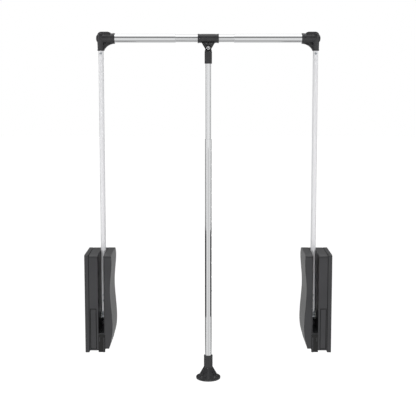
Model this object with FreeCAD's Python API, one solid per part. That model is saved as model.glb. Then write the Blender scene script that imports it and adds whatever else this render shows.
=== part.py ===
"""Pull down closet rod: a hanging rail on two sprung arms, with a telescopic pull handle.

Two wall units stand on the side panels of a wardrobe. In each, an arm turns on a pivot shaft in
an open slot. A crank on the shaft drives a slotted yoke, which works a damper and a return spring.
The arms carry a telescopic rail, and a handle hangs from the rail on a knuckle.

Millimetres. X runs from the left side panel to the right, -Y is the front and +Z is up.
The solids are drawn with the swing axis on y = 0, z = 0 and the left panel on x = 0. They are
then moved so that the origin is the centre of the left wall plate's screw pattern, on the panel.
"""
import FreeCAD, Part
import math
import os
from FreeCAD import Vector

# ---------------------------------------------------------------- whole product
wall_to_wall = 724.0        # panel to panel, with the rail at its middle width
rail_height = 830.0         # rail axis above the swing axis
arm_from_wall = 47.1        # arm axis from its panel
swing_degrees = 105.0       # the arms' swing from upright
running_gap = 0.3           # between bodies that pass each other
fit_gap = 0.05              # radial, in a bearing or a sliding fit
seat_gap = 0.02             # radial, between pieces pushed together for good
over = 1.0                  # how far a cut runs past the face that it opens
tiny = 1e-4                 # for picking edges by their place

# ---------------------------------------------------------------- arm and slot
arm_radius = 7.5
arm_wall = 1.2
slot_side_gap = 0.9         # between the arm and each wall of its slot
slot_back = 19.0            # slot's rear wall behind the arm plane
slot_bottom = -33.0
slot_wall = 2.0             # moulded wall on the cover's side of the slot

# ---------------------------------------------------------------- wall unit
unit_front = 84.0           # front face ahead of the arm plane
unit_back = 56.0            # back face behind the arm plane
unit_top = 201.0            # above the swing axis
plate_bottom = -91.0
base_bottom = -85.0
cover_bottom = -80.0
back_top_radius = 18.0
small_corner_radius = 4.0
least_corner_radius = 0.5
edge_round = 1.2
base_edge_round = 0.8
wall = 2.2                  # moulded wall thickness

plate_web = 4.0
plate_depth = 11.5
plate_rim = 2.5
groove = 1.0                # shadow line between the plate and the base
groove_inset = 1.2          # base's lip in the groove, in from its outline
screw_rows = 96.0           # wall screw spacing along Y
screw_columns = 224.0       # wall screw spacing along Z
screw_hole_radius = 2.75
screw_boss_radius = 8.0
screw_boss_depth = 8.0
counterbore_radius = 5.2
counterbore_floor = 5.5
stud_radius = 4.0
stud_length = 16.0
stud_from_front = 32.0
stud_spacing = 90.0

cover_seam = 0.3
cover_edge_round = 2.4
cover_top_edge = 78.3       # cover's outer face from the panel, from its top to its bottom
cover_top_bulge = 79.3
cover_waist = 74.0
cover_low_bulge = 79.9
cover_turn = 78.9
cover_tail = 69.5
cover_top_bulge_below = 29.0    # below the unit's top
cover_waist_at = 94.0
cover_low_bulge_at = 2.0
cover_turn_at = -40.0

panel_top = 42.0            # access panel's upper edge
panel_side_margin = 2.2
panel_inner_margin = 0.2
panel_bottom_margin = 5.0
panel_thickness = 1.4
panel_recess = 0.6
panel_ledge = 3.4
panel_ribs = 2

clip_head_top = -37.0
clip_head_height = 8.0
clip_side_margin = 2.0
clip_past_slot = 0.8
clip_thickness = 1.4
clip_stem_width = 3.6
clip_leg_width = 3.0
clip_leg_length = 12.0
clip_tail = 4.5             # clip's stem below the base

post_radius = 4.5           # cover's screw posts, by their distance from the unit's faces
post_from_back = 18.0
post_from_front = 32.0
post_from_top = 51.0
post_middle = 52.0
post_from_bottom = 27.0
case_screw_radius = 1.75
case_screw_head_radius = 3.5
case_screw_head = 2.2
case_screw_length = 16.0

# ---------------------------------------------------------------- pivot and return mechanism
shaft_radius = 6.0
shaft_head_radius = 9.0
shaft_head = 2.4
bush_wall = 3.0
bush_flange_width = 3.5
bush_flange = 0.6
bush_boss_wall = 4.0
bush_boss = 3.5             # boss beyond the slot's walls
hub_radius = 16.0
hub_side_gap = 0.3
hub_shoulder = 37.0         # arm tube's lower end above the swing axis
hub_spigot = 38.0
hub_first_screw = 10.5      # above the shoulder
hub_screw_spacing = 17.0
crank_radius = 24.0         # shaft to pin
crank_thickness = 6.2
crank_hub_wall = 5.0
crank_end_wall = 3.0
pin_radius = 4.0
yoke_thickness = 6.0
yoke_clearance = 1.45       # above and below the pin, where the linkage is open
yoke_rim = 4.5
yoke_from_crank = 2.0
seat_above_pin = 33.0
seat_radius = 12.5
seat_thickness = 3.0
neck_width = 8.0
damper_rod_radius = 4.0
damper_radius = 9.0
damper_bore = 7.0
damper_end = 5.0
damper_head_radius = 11.5
damper_head = 3.0
damper_head_gap = 0.5
damper_clearance = 20.0     # between the lifted spring seat and the damper
piston_radius = 6.7
piston_length = 6.0
piston_from_end = 12.0      # above the damper's gland at rest
spring_mean_radius = 11.0
spring_wire_radius = 1.1
spring_coils = 13
anchor_below_top = 41.0     # below the unit's top
anchor_plate = 5.0
anchor_margin = 1.0
anchor_cheek = 3.0
anchor_cheek_height = 32.0
anchor_front = -40.0
anchor_rear = 33.0
anchor_boss_front = -37.0
anchor_boss_rear = -9.0
anchor_boss_below_top = 22.5
anchor_boss_height = 22.0
anchor_boss_under = 0.4     # below the slot's face
bumper_below_top = 81.0
bumper_height = 30.0
bumper_side_gap = 2.4
bumper_round = 2.0

# ---------------------------------------------------------------- corners and rail
rail_radius = 12.7
rail_wall = 1.2
rail_bush_wall = 0.43
rail_bush_length = 25.0
rail_seat = 12.0            # rail tube's outer end from the arm axis
left_rail_end = 96.0        # rail tube's inner end from the middle
right_rail_end = 76.0
rail_lip = 1.5
rail_lip_overlap = 0.1
rail_end_round = 0.8
inner_rail_wall = 1.2
inner_rail_engagement = 100.0

corner_socket_wall = 2.8
corner_below = 36.0         # lower end of the corner's socket below the rail axis
corner_above = 19.5
corner_column_top = 3.0     # column's end below the hood's top
corner_outboard_wall = 0.5  # flat end of the rail socket beyond the column
corner_reach = 41.0         # end of the rail socket from the arm axis
corner_barrel_round = 2.5
corner_hood_reach = 29.0
corner_hood_half = 9.5
corner_hood_round = 4.0
gusset_half = 5.5
gusset_rise = 19.2          # how far along X the gusset's arc is at its middle
gusset_drop = 22.8
gusset_web_half = 3.2
gusset_rib = 3.6
corner_plug_below = 52.0
arm_top_below = 12.0
rivet_below = 44.0
rivet_radius = 2.0
rivet_head_radius = 3.6
rivet_head = 1.2
cap_radius = 10.5
cap_bulge = 3.0
cap_plug_radius = 7.6
cap_plug = 2.4

# ---------------------------------------------------------------- pull handle
clamp_length = 62.0
clamp_wall = 2.0
clamp_ring_wall = 2.6
clamp_ring = 4.0
clamp_ring_round = 0.6
knuckle_below_clamp = 14.6  # knuckle axis below the clamp's barrel
cheek_inner = 5.0
cheek_outer = 10.5
cheek_foot_radius = 9.0
cheek_half_width = 21.0
cheek_in_barrel = 3.0
cheek_pocket = 1.5
pocket_inner = 2.0          # pocket's corners from the handle's axis
pocket_outer = 13.5
pocket_foot = 7.5
pocket_round = 0.6
pocket_below_barrel = 1.0
pocket_above_foot = 3.0     # pocket's foot below the top of the cheek's round end
tongue_radius = 8.4
knuckle_shank = 3.0
knuckle_head_radius = 5.8
knuckle_head = 3.0
knuckle_head_round = 1.2
cross_length = 3.2
cross_width = 0.6
cross_depth = 1.3
nut_flats = 10.0
nut_height = 4.0
thread_past_nut = 1.0
socket_wall = 2.55
socket_below_knuckle = 10.0
socket_length = 35.9
socket_floor = 7.9
socket_round = 1.5
socket_neck_overlap = 2.0
lower_tube_radius = 10.0
lower_tube_wall = 1.38
lower_tube_length = 688.0
lower_tube_below_top = 250.5    # lower tube's top below the upper tube's
handle_gap = 0.32           # radial, between the two handle tubes
upper_tube_wall = 1.2
upper_tube_past_button = 20.5
hole_pitch = 42.5
hole_count = 11
first_hole_from_end = 33.5
hole_gap = 0.4
button_radius = 2.7
button_hole_gap = 0.1
button_stand_out = 1.0
button_round = 0.9
button_flange_radius = 3.8
button_flange = 1.2
button_flange_gap = 0.3
leaf_thickness = 0.7
leaf_half_width = 2.6
leaf_length = 46.0
leaf_behind_button = 6.0
leaf_wall_gap = 0.9
foot_wall = 3.3
foot_grip = 30.0            # lower tube's length inside the foot
foot_sleeve = 36.0          # the foot's levels, below its top
foot_flare = 60.0
foot_disc = 66.0
foot_height = 72.0
foot_flare_radius = 26.0
foot_skirt_radius = 28.5
foot_skirt_drop = 1.2
foot_disc_radius = 37.2
foot_top_round = 0.8
foot_neck_round = 8.0
foot_flare_round = 2.0
foot_skirt_round = 1.5
foot_rim_round = 1.2
foot_base_round = 1.5
foot_ribs = 12
foot_rib_width = 2.4
foot_rib_height = 1.4
foot_rib_start = 0.2
foot_rib_root = 2.0

# ---------------------------------------------------------------- worked out from the above
X_AXIS = Vector(1, 0, 0)
Y_AXIS = Vector(0, 1, 0)
Z_AXIS = Vector(0, 0, 1)
middle = wall_to_wall / 2
case_from = plate_depth + groove                    # base shell's wall side
slot_from = arm_from_wall - arm_radius - slot_side_gap
slot_to = arm_from_wall + arm_radius + slot_side_gap
base_to = slot_to + slot_wall                       # base shell's side towards the cover
cover_from = base_to + cover_seam
floor_from = slot_from - wall                       # mechanism cavity's floor
bush_radius = shaft_radius + bush_wall
bush_boss_radius = bush_radius + bush_boss_wall
half_swing = math.radians(swing_degrees / 2)
pin_back = crank_radius * math.cos(half_swing)
pin_drop = crank_radius * math.sin(half_swing)
crank_to = floor_from - bush_boss - running_gap     # crank's face next to the bush
crank_from = crank_to - crank_thickness
yoke_to = crank_from - yoke_from_crank
yoke_from = yoke_to - yoke_thickness
yoke_travel = 2 * pin_drop
damper_x = (yoke_from + yoke_to) / 2
damper_y = pin_back + (crank_radius - pin_back) / 2
seat_at = -pin_drop + seat_above_pin                # spring seat's underside at rest
spring_from = seat_at + seat_thickness
anchor_at = unit_top - anchor_below_top
anchor_boss_at = unit_top - anchor_boss_below_top
damper_top = anchor_at + anchor_plate
damper_bottom = spring_from + yoke_travel + damper_clearance
piston_at = damper_bottom + damper_end + piston_from_end
plate_centre_y = (unit_back - unit_front) / 2
plate_centre_z = (unit_top + plate_bottom) / 2
stud_y = -unit_front + stud_from_front
stud_heights = (plate_centre_z - stud_spacing / 2, plate_centre_z + stud_spacing / 2)
post_rear = unit_back - post_from_back
post_low = base_bottom + post_from_bottom
screw_posts = [
    (post_rear, unit_top - post_from_top),
    (post_rear, post_middle),
    (post_rear, post_low),
    (-unit_front + post_from_front, post_low),
]
panel_x = (case_from + panel_side_margin, floor_from - panel_inner_margin)
panel_z = (base_bottom + panel_bottom_margin, panel_top)
hub_screw_heights = (hub_shoulder + hub_first_screw, hub_shoulder + hub_first_screw + hub_screw_spacing)

column_radius = arm_radius + corner_socket_wall
barrel_radius = rail_radius + corner_socket_wall
corner_outboard = arm_from_wall - column_radius - corner_outboard_wall
rail_bore = rail_radius - rail_wall
inner_rail_radius = rail_bore - seat_gap - rail_bush_wall - fit_gap

# the handle's heights are all below the rail axis
clamp_radius = inner_rail_radius + clamp_wall
knuckle_below = clamp_radius + knuckle_below_clamp
socket_top = knuckle_below + socket_below_knuckle
socket_bottom = socket_top + socket_length
upper_tube_top = socket_top + socket_floor
lower_tube_top = upper_tube_top + lower_tube_below_top
lower_tube_bottom = lower_tube_top + lower_tube_length
lower_tube_bore = lower_tube_radius - lower_tube_wall
upper_tube_radius = lower_tube_bore - handle_gap
upper_tube_bore = upper_tube_radius - upper_tube_wall
socket_radius = upper_tube_radius + socket_wall
first_hole = lower_tube_top + first_hole_from_end
button_at = first_hole + hole_pitch * (hole_count - 1)
upper_tube_bottom = button_at + upper_tube_past_button
foot_radius = lower_tube_radius + foot_wall
foot_top = lower_tube_bottom - foot_grip

os.makedirs("parts", exist_ok=True)


# ---------------------------------------------------------------- helpers
def block(x, y, z):
    """A box from three (low, high) pairs."""
    return Part.makeBox(x[1] - x[0], y[1] - y[0], z[1] - z[0], Vector(x[0], y[0], z[0]))


def rod(start, along, length, radius):
    return Part.makeCylinder(radius, length, start, along)


def sleeve(start, along, length, outer, inner):
    return rod(start, along, length, outer).cut(rod(start, along, length, inner))


def rounded_wire(corners, place):
    """A closed wire of straight runs and arcs through (a, b, radius) corners."""
    runs = []
    count = len(corners)
    for i in range(count):
        before = corners[i - 1]
        here = corners[i]
        after = corners[(i + 1) % count]
        corner = Vector(here[0], here[1], 0)
        back = (Vector(before[0], before[1], 0) - corner).normalize()
        ahead = (Vector(after[0], after[1], 0) - corner).normalize()
        half = back.getAngle(ahead) / 2
        radius = here[2]
        reach = radius / math.tan(half)
        bisector = (back + ahead).normalize()
        mid = corner + bisector * (radius / math.sin(half) - radius)
        runs.append((corner + back * reach, mid, corner + ahead * reach, radius))
    edges = []
    for i in range(count):
        start, mid, end, radius = runs[i]
        if radius > 0:
            edges.append(Part.Arc(place(start), place(mid), place(end)).toShape())
        following = runs[(i + 1) % count][0]
        if (following - end).Length > tiny:
            edges.append(Part.LineSegment(place(end), place(following)).toShape())
    return Part.Wire(edges)


def side_outline(x, bottom, inset):
    """The unit's outline seen from the side, in the plane at x, moved in by inset."""
    small = max(small_corner_radius - inset, least_corner_radius)
    large = max(back_top_radius - inset, least_corner_radius)
    corners = [
        (-unit_front + inset, bottom + inset, small),
        (unit_back - inset, bottom + inset, small),
        (unit_back - inset, unit_top - inset, large),
        (-unit_front + inset, unit_top - inset, small),
    ]
    return rounded_wire(corners, lambda p: Vector(x, p.x, p.y))


def side_prism(x_from, x_to, bottom, inset=0.0):
    face = Part.Face(side_outline(x_from, bottom, inset))
    return face.extrude(Vector(x_to - x_from, 0, 0))


def stadium(x_from, x_to, y_from, y_to, z_centre, height):
    """An oblong with round ends along Y."""
    radius = height / 2
    body = block((x_from, x_to), (y_from + radius, y_to - radius), (z_centre - radius, z_centre + radius))
    for y in (y_from + radius, y_to - radius):
        body = body.fuse(rod(Vector(x_from, y, z_centre), X_AXIS, x_to - x_from, radius))
    return body.removeSplitter()


def link_plate(start, end, start_radius, end_radius, x_from, x_to):
    """A plate across X with two round ends at (y, z) points and tangent sides."""
    a = Vector(0, start[0], start[1])
    b = Vector(0, end[0], end[1])
    along = (b - a).normalize()
    across = Vector(0, -along.z, along.y)
    lean = math.acos((start_radius - end_radius) / (b - a).Length)

    def rim(centre, radius, angle):
        point = centre + along * (radius * math.cos(angle)) + across * (radius * math.sin(angle))
        return Vector(x_from, point.y, point.z)

    near = [rim(a, start_radius, angle) for angle in (-lean, math.pi, lean)]
    far = [rim(b, end_radius, angle) for angle in (lean, 0, -lean)]
    edges = [
        Part.LineSegment(near[2], far[0]).toShape(),
        Part.Arc(far[0], far[1], far[2]).toShape(),
        Part.LineSegment(far[2], near[0]).toShape(),
        Part.Arc(near[0], near[1], near[2]).toShape(),
    ]
    return Part.Face(Part.Wire(edges)).extrude(Vector(x_to - x_from, 0, 0))


def edges_where(shape, test):
    return [edge for edge in shape.Edges if test(edge)]


def flat_in_x(edge, x):
    box = edge.BoundBox
    return abs(box.XMin - x) < tiny and abs(box.XMax - x) < tiny


# ---------------------------------------------------------------- wall unit
def wall_plate():
    """Tray screwed to the side panel, with four screw bosses and two locating studs."""
    plate = side_prism(0, plate_depth, plate_bottom)
    plate = plate.makeFillet(edge_round, edges_where(plate, lambda e: flat_in_x(e, plate_depth)))
    plate = plate.cut(side_prism(plate_web, plate_depth + over, plate_bottom, plate_rim))
    for y in (-screw_rows / 2, screw_rows / 2):
        for z in (-screw_columns / 2, screw_columns / 2):
            centre = Vector(0, plate_centre_y + y, plate_centre_z + z)
            deep = centre + X_AXIS * counterbore_floor
            plate = plate.fuse(rod(centre, X_AXIS, screw_boss_depth, screw_boss_radius))
            plate = plate.cut(rod(centre, X_AXIS, screw_boss_depth, screw_hole_radius))
            plate = plate.cut(rod(deep, X_AXIS, screw_boss_depth, counterbore_radius))
    for z in stud_heights:
        plate = plate.fuse(rod(Vector(0, stud_y, z), X_AXIS, stud_length, stud_radius))
    return plate


def base_shell():
    """Moulded body: a cavity for the mechanism, the arm's slot and two pockets behind the cover."""
    shell = side_prism(case_from, base_to, base_bottom)
    rims = edges_where(shell, lambda e: flat_in_x(e, case_from) or flat_in_x(e, base_to))
    shell = shell.makeFillet(base_edge_round, rims)
    shell = shell.fuse(side_prism(plate_depth, case_from, base_bottom, groove_inset))
    shell = shell.cut(side_prism(plate_depth - over, floor_from, base_bottom, wall))
    inside = side_prism(slot_from, base_to + over, base_bottom, wall)
    across = (slot_from, base_to + over)
    rear = block(across, (slot_back + wall, unit_back), (base_bottom, unit_top))
    foot = block(across, (-unit_front, slot_back), (base_bottom, slot_bottom - wall))
    shell = shell.cut(inside.common(rear)).cut(inside.common(foot))
    slot = block((slot_from, slot_to), (-unit_front - over, slot_back), (slot_bottom, unit_top + over))
    shell = shell.cut(slot)
    for start in (floor_from - bush_boss, base_to):
        shell = shell.fuse(rod(Vector(start, 0, 0), X_AXIS, bush_boss, bush_boss_radius))
    bore_from = Vector(floor_from - bush_boss, 0, 0)
    bore_length = base_to + bush_boss - bore_from.x
    shell = shell.cut(rod(bore_from, X_AXIS, bore_length, bush_radius + seat_gap))
    window = stadium(floor_from, slot_from, anchor_boss_front - running_gap, anchor_boss_rear + running_gap,
                     anchor_boss_at, anchor_boss_height + 2 * running_gap)
    shell = shell.cut(window)
    for z in stud_heights:
        post = Vector(plate_web + wall, stud_y, z)
        shell = shell.fuse(rod(post, X_AXIS, floor_from - post.x, stud_radius + wall))
        shell = shell.cut(rod(post, X_AXIS, stud_length - post.x + over, stud_radius + fit_gap))
    for y, z in screw_posts:
        shell = shell.cut(rod(Vector(floor_from, y, z), X_AXIS, wall, case_screw_radius + seat_gap))
    return panel_opening(shell)


def panel_opening(shell):
    """Recess and window in the front wall for the access panel."""
    front = -unit_front
    back = front + panel_recess + panel_thickness
    ledge = block((case_from + base_edge_round, floor_from), (front + over, back + wall),
                  (base_bottom + over, panel_z[1] + panel_ledge))
    shell = shell.fuse(ledge)
    shell = shell.cut(block(panel_x, (front - over, back), panel_z))
    inner_x = (panel_x[0] + panel_ledge, panel_x[1] - panel_ledge)
    inner_z = (panel_z[0] + panel_ledge, panel_z[1] - panel_ledge)
    return shell.cut(block(inner_x, (front, back + wall + over), inner_z)).removeSplitter()


def access_panel():
    front = -unit_front + panel_recess
    back = front + panel_thickness
    panel = block((panel_x[0] + running_gap, panel_x[1] - running_gap), (front, back),
                  (panel_z[0] + running_gap, panel_z[1] - running_gap))
    rib_x = (panel_x[0] + panel_ledge + running_gap, panel_x[1] - panel_ledge - running_gap)
    for i in range(panel_ribs):
        z = panel_z[0] + (panel_z[1] - panel_z[0]) * (2 * i + 1) / (2 * panel_ribs)
        panel = panel.fuse(block(rib_x, (back, back + wall), (z - wall / 2, z + wall / 2)))
    return panel


def cover_profile(y, inset):
    """The cover's sculpted section across Y, moved in by inset."""
    top = unit_top - inset
    bottom = cover_bottom + inset
    wave = [
        Vector(cover_top_edge - inset, y, top),
        Vector(cover_top_bulge - inset, y, unit_top - cover_top_bulge_below),
        Vector(cover_waist - inset, y, cover_waist_at),
        Vector(cover_low_bulge - inset, y, cover_low_bulge_at),
        Vector(cover_turn - inset, y, cover_turn_at),
        Vector(cover_tail - inset, y, bottom),
    ]
    curve = Part.BSplineCurve()
    curve.interpolate(wave)
    inner_x = cover_from - inset
    top_inner = Vector(inner_x, y, top)
    bottom_inner = Vector(inner_x, y, bottom)
    edges = [
        Part.LineSegment(top_inner, wave[0]).toShape(),
        curve.toShape(),
        Part.LineSegment(wave[-1], bottom_inner).toShape(),
        Part.LineSegment(bottom_inner, top_inner).toShape(),
    ]
    return Part.Face(Part.Wire(edges))


def cover_form(inset):
    """The cover's outer form, or its hollow when moved in."""
    front = -unit_front + inset
    length = unit_front + unit_back - 2 * inset
    wave = cover_profile(front, inset).extrude(Vector(0, length, 0))
    beyond = max(cover_top_bulge, cover_low_bulge) + wall
    return wave.common(side_prism(cover_from - inset, beyond, cover_bottom, inset))


def on_wave(edge):
    """Edges of the cover's sculpted face."""
    return edge.BoundBox.XMax > cover_tail - over and edge.BoundBox.XMin > cover_from + over


def cover():
    """Hollow sculpted cover with four posts that reach through the base's pockets."""
    form = cover_form(0.0)
    form = form.makeFillet(cover_edge_round, edges_where(form, on_wave))
    shell = form.cut(cover_form(wall))
    core = cover_form(wall / 2)
    for y, z in screw_posts:
        start = slot_from + running_gap
        near = rod(Vector(start, y, z), X_AXIS, cover_from + wall - start, post_radius)
        far = rod(Vector(cover_from, y, z), X_AXIS, cover_top_bulge - cover_from, post_radius)
        shell = shell.fuse(near).fuse(far.common(core))
        pilot = rod(Vector(start, y, z), X_AXIS, case_screw_length, case_screw_radius + seat_gap)
        shell = shell.cut(pilot)
    return shell


def cover_clip():
    """T-shaped clip on the front of the block below the slot, with its tail below the base."""
    face = (-unit_front - clip_thickness, -unit_front)
    head_z = (clip_head_top - clip_head_height, clip_head_top)
    head_from = slot_from + clip_side_margin
    stem_to = slot_to + clip_past_slot
    clip = block((head_from, stem_to), face, head_z)
    stem = block((stem_to - clip_stem_width, stem_to), face, (base_bottom - clip_tail, head_z[1]))
    leg = block((head_from, head_from + clip_leg_width), face, (head_z[0] - clip_leg_length, head_z[1]))
    return clip.fuse(stem).fuse(leg).removeSplitter()


def bush(towards_cover):
    """Flanged bearing bush in a slot wall. The flange lies in the slot."""
    if towards_cover:
        start = slot_to
        length = slot_wall + bush_boss
        flange_start = slot_to - bush_flange
    else:
        start = floor_from - bush_boss
        length = wall + bush_boss
        flange_start = slot_from
    body = rod(Vector(start, 0, 0), X_AXIS, length, bush_radius)
    flange = rod(Vector(flange_start, 0, 0), X_AXIS, bush_flange, bush_radius + bush_flange_width)
    bore = rod(Vector(start - bush_flange, 0, 0), X_AXIS, length + 2 * bush_flange, shaft_radius + fit_gap)
    return body.fuse(flange).cut(bore)


def bumper():
    """Rubber rest behind the arm, on the slot's rear wall."""
    x = (slot_from + bumper_side_gap, slot_to - bumper_side_gap)
    y = (arm_radius + running_gap, slot_back)
    z = unit_top - bumper_below_top
    pad = block(x, y, (z, z + bumper_height))
    return pad.makeFillet(bumper_round, edges_where(pad, lambda e: abs(e.BoundBox.YMax - y[0]) < tiny))


def spring_anchor():
    """Bracket at the top of the cavity. It holds the damper and the spring's upper end."""
    face = floor_from - running_gap
    clear_of_boss = screw_boss_depth + running_gap
    plate = block((max(damper_x - seat_radius, clear_of_boss), face),
                  (damper_y - seat_radius - anchor_margin, anchor_rear), (anchor_at, damper_top))
    cheek = block((face - anchor_cheek, face), (anchor_front, anchor_rear),
                  (anchor_at, anchor_at + anchor_cheek_height))
    boss = stadium(face - over, slot_from - anchor_boss_under, anchor_boss_front, anchor_boss_rear,
                   anchor_boss_at, anchor_boss_height)
    hole = rod(Vector(damper_x, damper_y, anchor_at - over), Z_AXIS, anchor_plate + 2 * over,
               damper_radius + seat_gap)
    head_room = rod(Vector(damper_x, damper_y, damper_top), Z_AXIS, damper_head + over,
                    damper_head_radius + damper_head_gap)
    return plate.fuse(cheek).fuse(boss).cut(hole).cut(head_room)


def damper_body():
    """Hydraulic damper's cylinder, hung from the anchor by its head."""
    base = Vector(damper_x, damper_y, damper_bottom)
    body = rod(base, Z_AXIS, damper_top - damper_bottom, damper_radius)
    head = rod(Vector(damper_x, damper_y, damper_top), Z_AXIS, damper_head, damper_head_radius)
    bore_length = damper_top - damper_bottom - 2 * damper_end
    bore = rod(base + Z_AXIS * damper_end, Z_AXIS, bore_length, damper_bore)
    gland = rod(base, Z_AXIS, damper_end, damper_rod_radius + fit_gap)
    return body.fuse(head).cut(bore).cut(gland)


def return_spring():
    """Compression spring between the yoke's seat and the anchor."""
    start = spring_from + spring_wire_radius + running_gap
    height = anchor_at - spring_wire_radius - running_gap - start
    helix = Part.makeHelix(height / spring_coils, height, spring_mean_radius)
    section = Part.Circle(Vector(spring_mean_radius, 0, 0), Y_AXIS, spring_wire_radius)
    coil = Part.Wire(helix.Edges).makePipeShell([Part.Wire([section.toShape()])], True, True)
    coil.translate(Vector(damper_x, damper_y, start))
    return coil


def case_screws():
    """Four screws from the cavity into the cover's posts."""
    screws = []
    for y, z in screw_posts:
        seat = Vector(floor_from, y, z)
        head = rod(seat - X_AXIS * case_screw_head, X_AXIS, case_screw_head, case_screw_head_radius)
        screws.append(head.fuse(rod(seat, X_AXIS, case_screw_length, case_screw_radius)))
    return Part.makeCompound(screws)


# ---------------------------------------------------------------- yoke
def yoke():
    """Slotted yoke that the crank's pin lifts, with the spring's seat on its neck."""
    rest = -pin_drop
    slot_radius = pin_radius + yoke_clearance
    y_from = pin_back - slot_radius
    y_to = crank_radius + slot_radius
    plate = stadium(yoke_from, yoke_to, y_from - yoke_rim, y_to + yoke_rim, rest,
                    2 * (slot_radius + yoke_rim))
    neck_y = (damper_y - neck_width / 2, damper_y + neck_width / 2)
    neck = block((yoke_from, yoke_to), neck_y, (rest, seat_at))
    foot = Vector(damper_x, damper_y, seat_at)
    seat = rod(foot, Z_AXIS, seat_thickness, seat_radius)
    pin_slot = stadium(yoke_from, yoke_to, y_from, y_to, rest, 2 * slot_radius)
    rod_hole = rod(foot, Z_AXIS, seat_thickness, damper_rod_radius + seat_gap)
    return plate.fuse(neck).fuse(seat).cut(pin_slot).cut(rod_hole)


def damper_rod():
    start = Vector(damper_x, damper_y, seat_at)
    body = rod(start, Z_AXIS, piston_at - seat_at, damper_rod_radius)
    return body.fuse(rod(Vector(damper_x, damper_y, piston_at), Z_AXIS, piston_length, piston_radius))


# ---------------------------------------------------------------- arm
def pivot_shaft():
    head_from = base_to + bush_boss + running_gap
    body = rod(Vector(crank_from, 0, 0), X_AXIS, head_from - crank_from, shaft_radius)
    return body.fuse(rod(Vector(head_from, 0, 0), X_AXIS, shaft_head, shaft_head_radius))


def crank():
    """Crank on the shaft's end, with the pin that works in the yoke."""
    plate = link_plate((0, 0), (pin_back, -pin_drop), shaft_radius + crank_hub_wall,
                       pin_radius + crank_end_wall, crank_from, crank_to)
    pin_from = yoke_from - over
    pin = rod(Vector(pin_from, pin_back, -pin_drop), X_AXIS, crank_from - pin_from, pin_radius)
    bore = rod(Vector(crank_from, 0, 0), X_AXIS, crank_thickness, shaft_radius + seat_gap)
    return plate.cut(bore).fuse(pin)


def arm_hub():
    """Hub on the shaft, with a neck and a spigot inside the arm tube."""
    side = bush_flange + hub_side_gap
    start = Vector(slot_from + side, 0, 0)
    thickness = slot_to - slot_from - 2 * side
    boss = rod(start, X_AXIS, thickness, hub_radius)
    foot = Vector(arm_from_wall, 0, 0)
    neck = rod(foot, Z_AXIS, hub_shoulder, arm_radius).common(
        block((start.x, start.x + thickness), (-hub_radius, hub_radius), (0, hub_shoulder)))
    spigot = rod(foot, Z_AXIS, hub_shoulder + hub_spigot, arm_radius - arm_wall - seat_gap)
    bore = rod(start, X_AXIS, thickness, shaft_radius + seat_gap)
    hub = boss.fuse(neck).fuse(spigot).cut(bore)
    for z in hub_screw_heights:
        front = Vector(arm_from_wall, -arm_radius, z)
        hub = hub.cut(rod(front, Y_AXIS, 2 * arm_radius, rivet_radius + seat_gap))
    return hub


def hub_screws():
    """Two screws through the arm tube and the hub's spigot."""
    screws = []
    for z in hub_screw_heights:
        start = Vector(arm_from_wall, -arm_radius, z)
        shank = rod(start, Y_AXIS, 2 * arm_radius - arm_wall, rivet_radius)
        screws.append(shank.fuse(rod(start - Y_AXIS * rivet_head, Y_AXIS, rivet_head, rivet_head_radius)))
    return Part.makeCompound(screws)


def arm_tube():
    foot = Vector(arm_from_wall, 0, hub_shoulder)
    length = rail_height - arm_top_below - hub_shoulder
    tube = sleeve(foot, Z_AXIS, length, arm_radius, arm_radius - arm_wall)
    for z in hub_screw_heights + (rail_height - rivet_below,):
        start = Vector(arm_from_wall, -arm_radius - over, z)
        tube = tube.cut(rod(start, Y_AXIS, 2 * (arm_radius + over), rivet_radius + seat_gap))
    return tube


# ---------------------------------------------------------------- corner and rail
def gusset():
    """Web between the two sockets, with a thick rib along the hollow arc of its free edge."""
    start = Vector(arm_from_wall + corner_reach - over, -gusset_half, rail_height - barrel_radius)
    mid = Vector(arm_from_wall + gusset_rise, -gusset_half, rail_height - gusset_drop)
    end = Vector(arm_from_wall + column_radius - over, -gusset_half, rail_height - corner_below + over)
    root = Vector(arm_from_wall, -gusset_half, rail_height)
    arc = Part.Arc(start, mid, end)
    below_root = Vector(root.x, root.y, end.z)
    beside_root = Vector(start.x, root.y, root.z)
    edges = [
        arc.toShape(),
        Part.LineSegment(end, below_root).toShape(),
        Part.LineSegment(below_root, root).toShape(),
        Part.LineSegment(root, beside_root).toShape(),
        Part.LineSegment(beside_root, start).toShape(),
    ]
    whole = Part.Face(Part.Wire(edges)).extrude(Vector(0, 2 * gusset_half, 0))
    circle = arc.toShape().Curve
    rib = whole.common(rod(circle.Center, Y_AXIS, 2 * gusset_half, circle.Radius + gusset_rib))
    span = (arm_from_wall, start.x)
    web = whole.common(block(span, (-gusset_web_half, gusset_web_half), (end.z, rail_height)))
    return rib.fuse(web)


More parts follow.
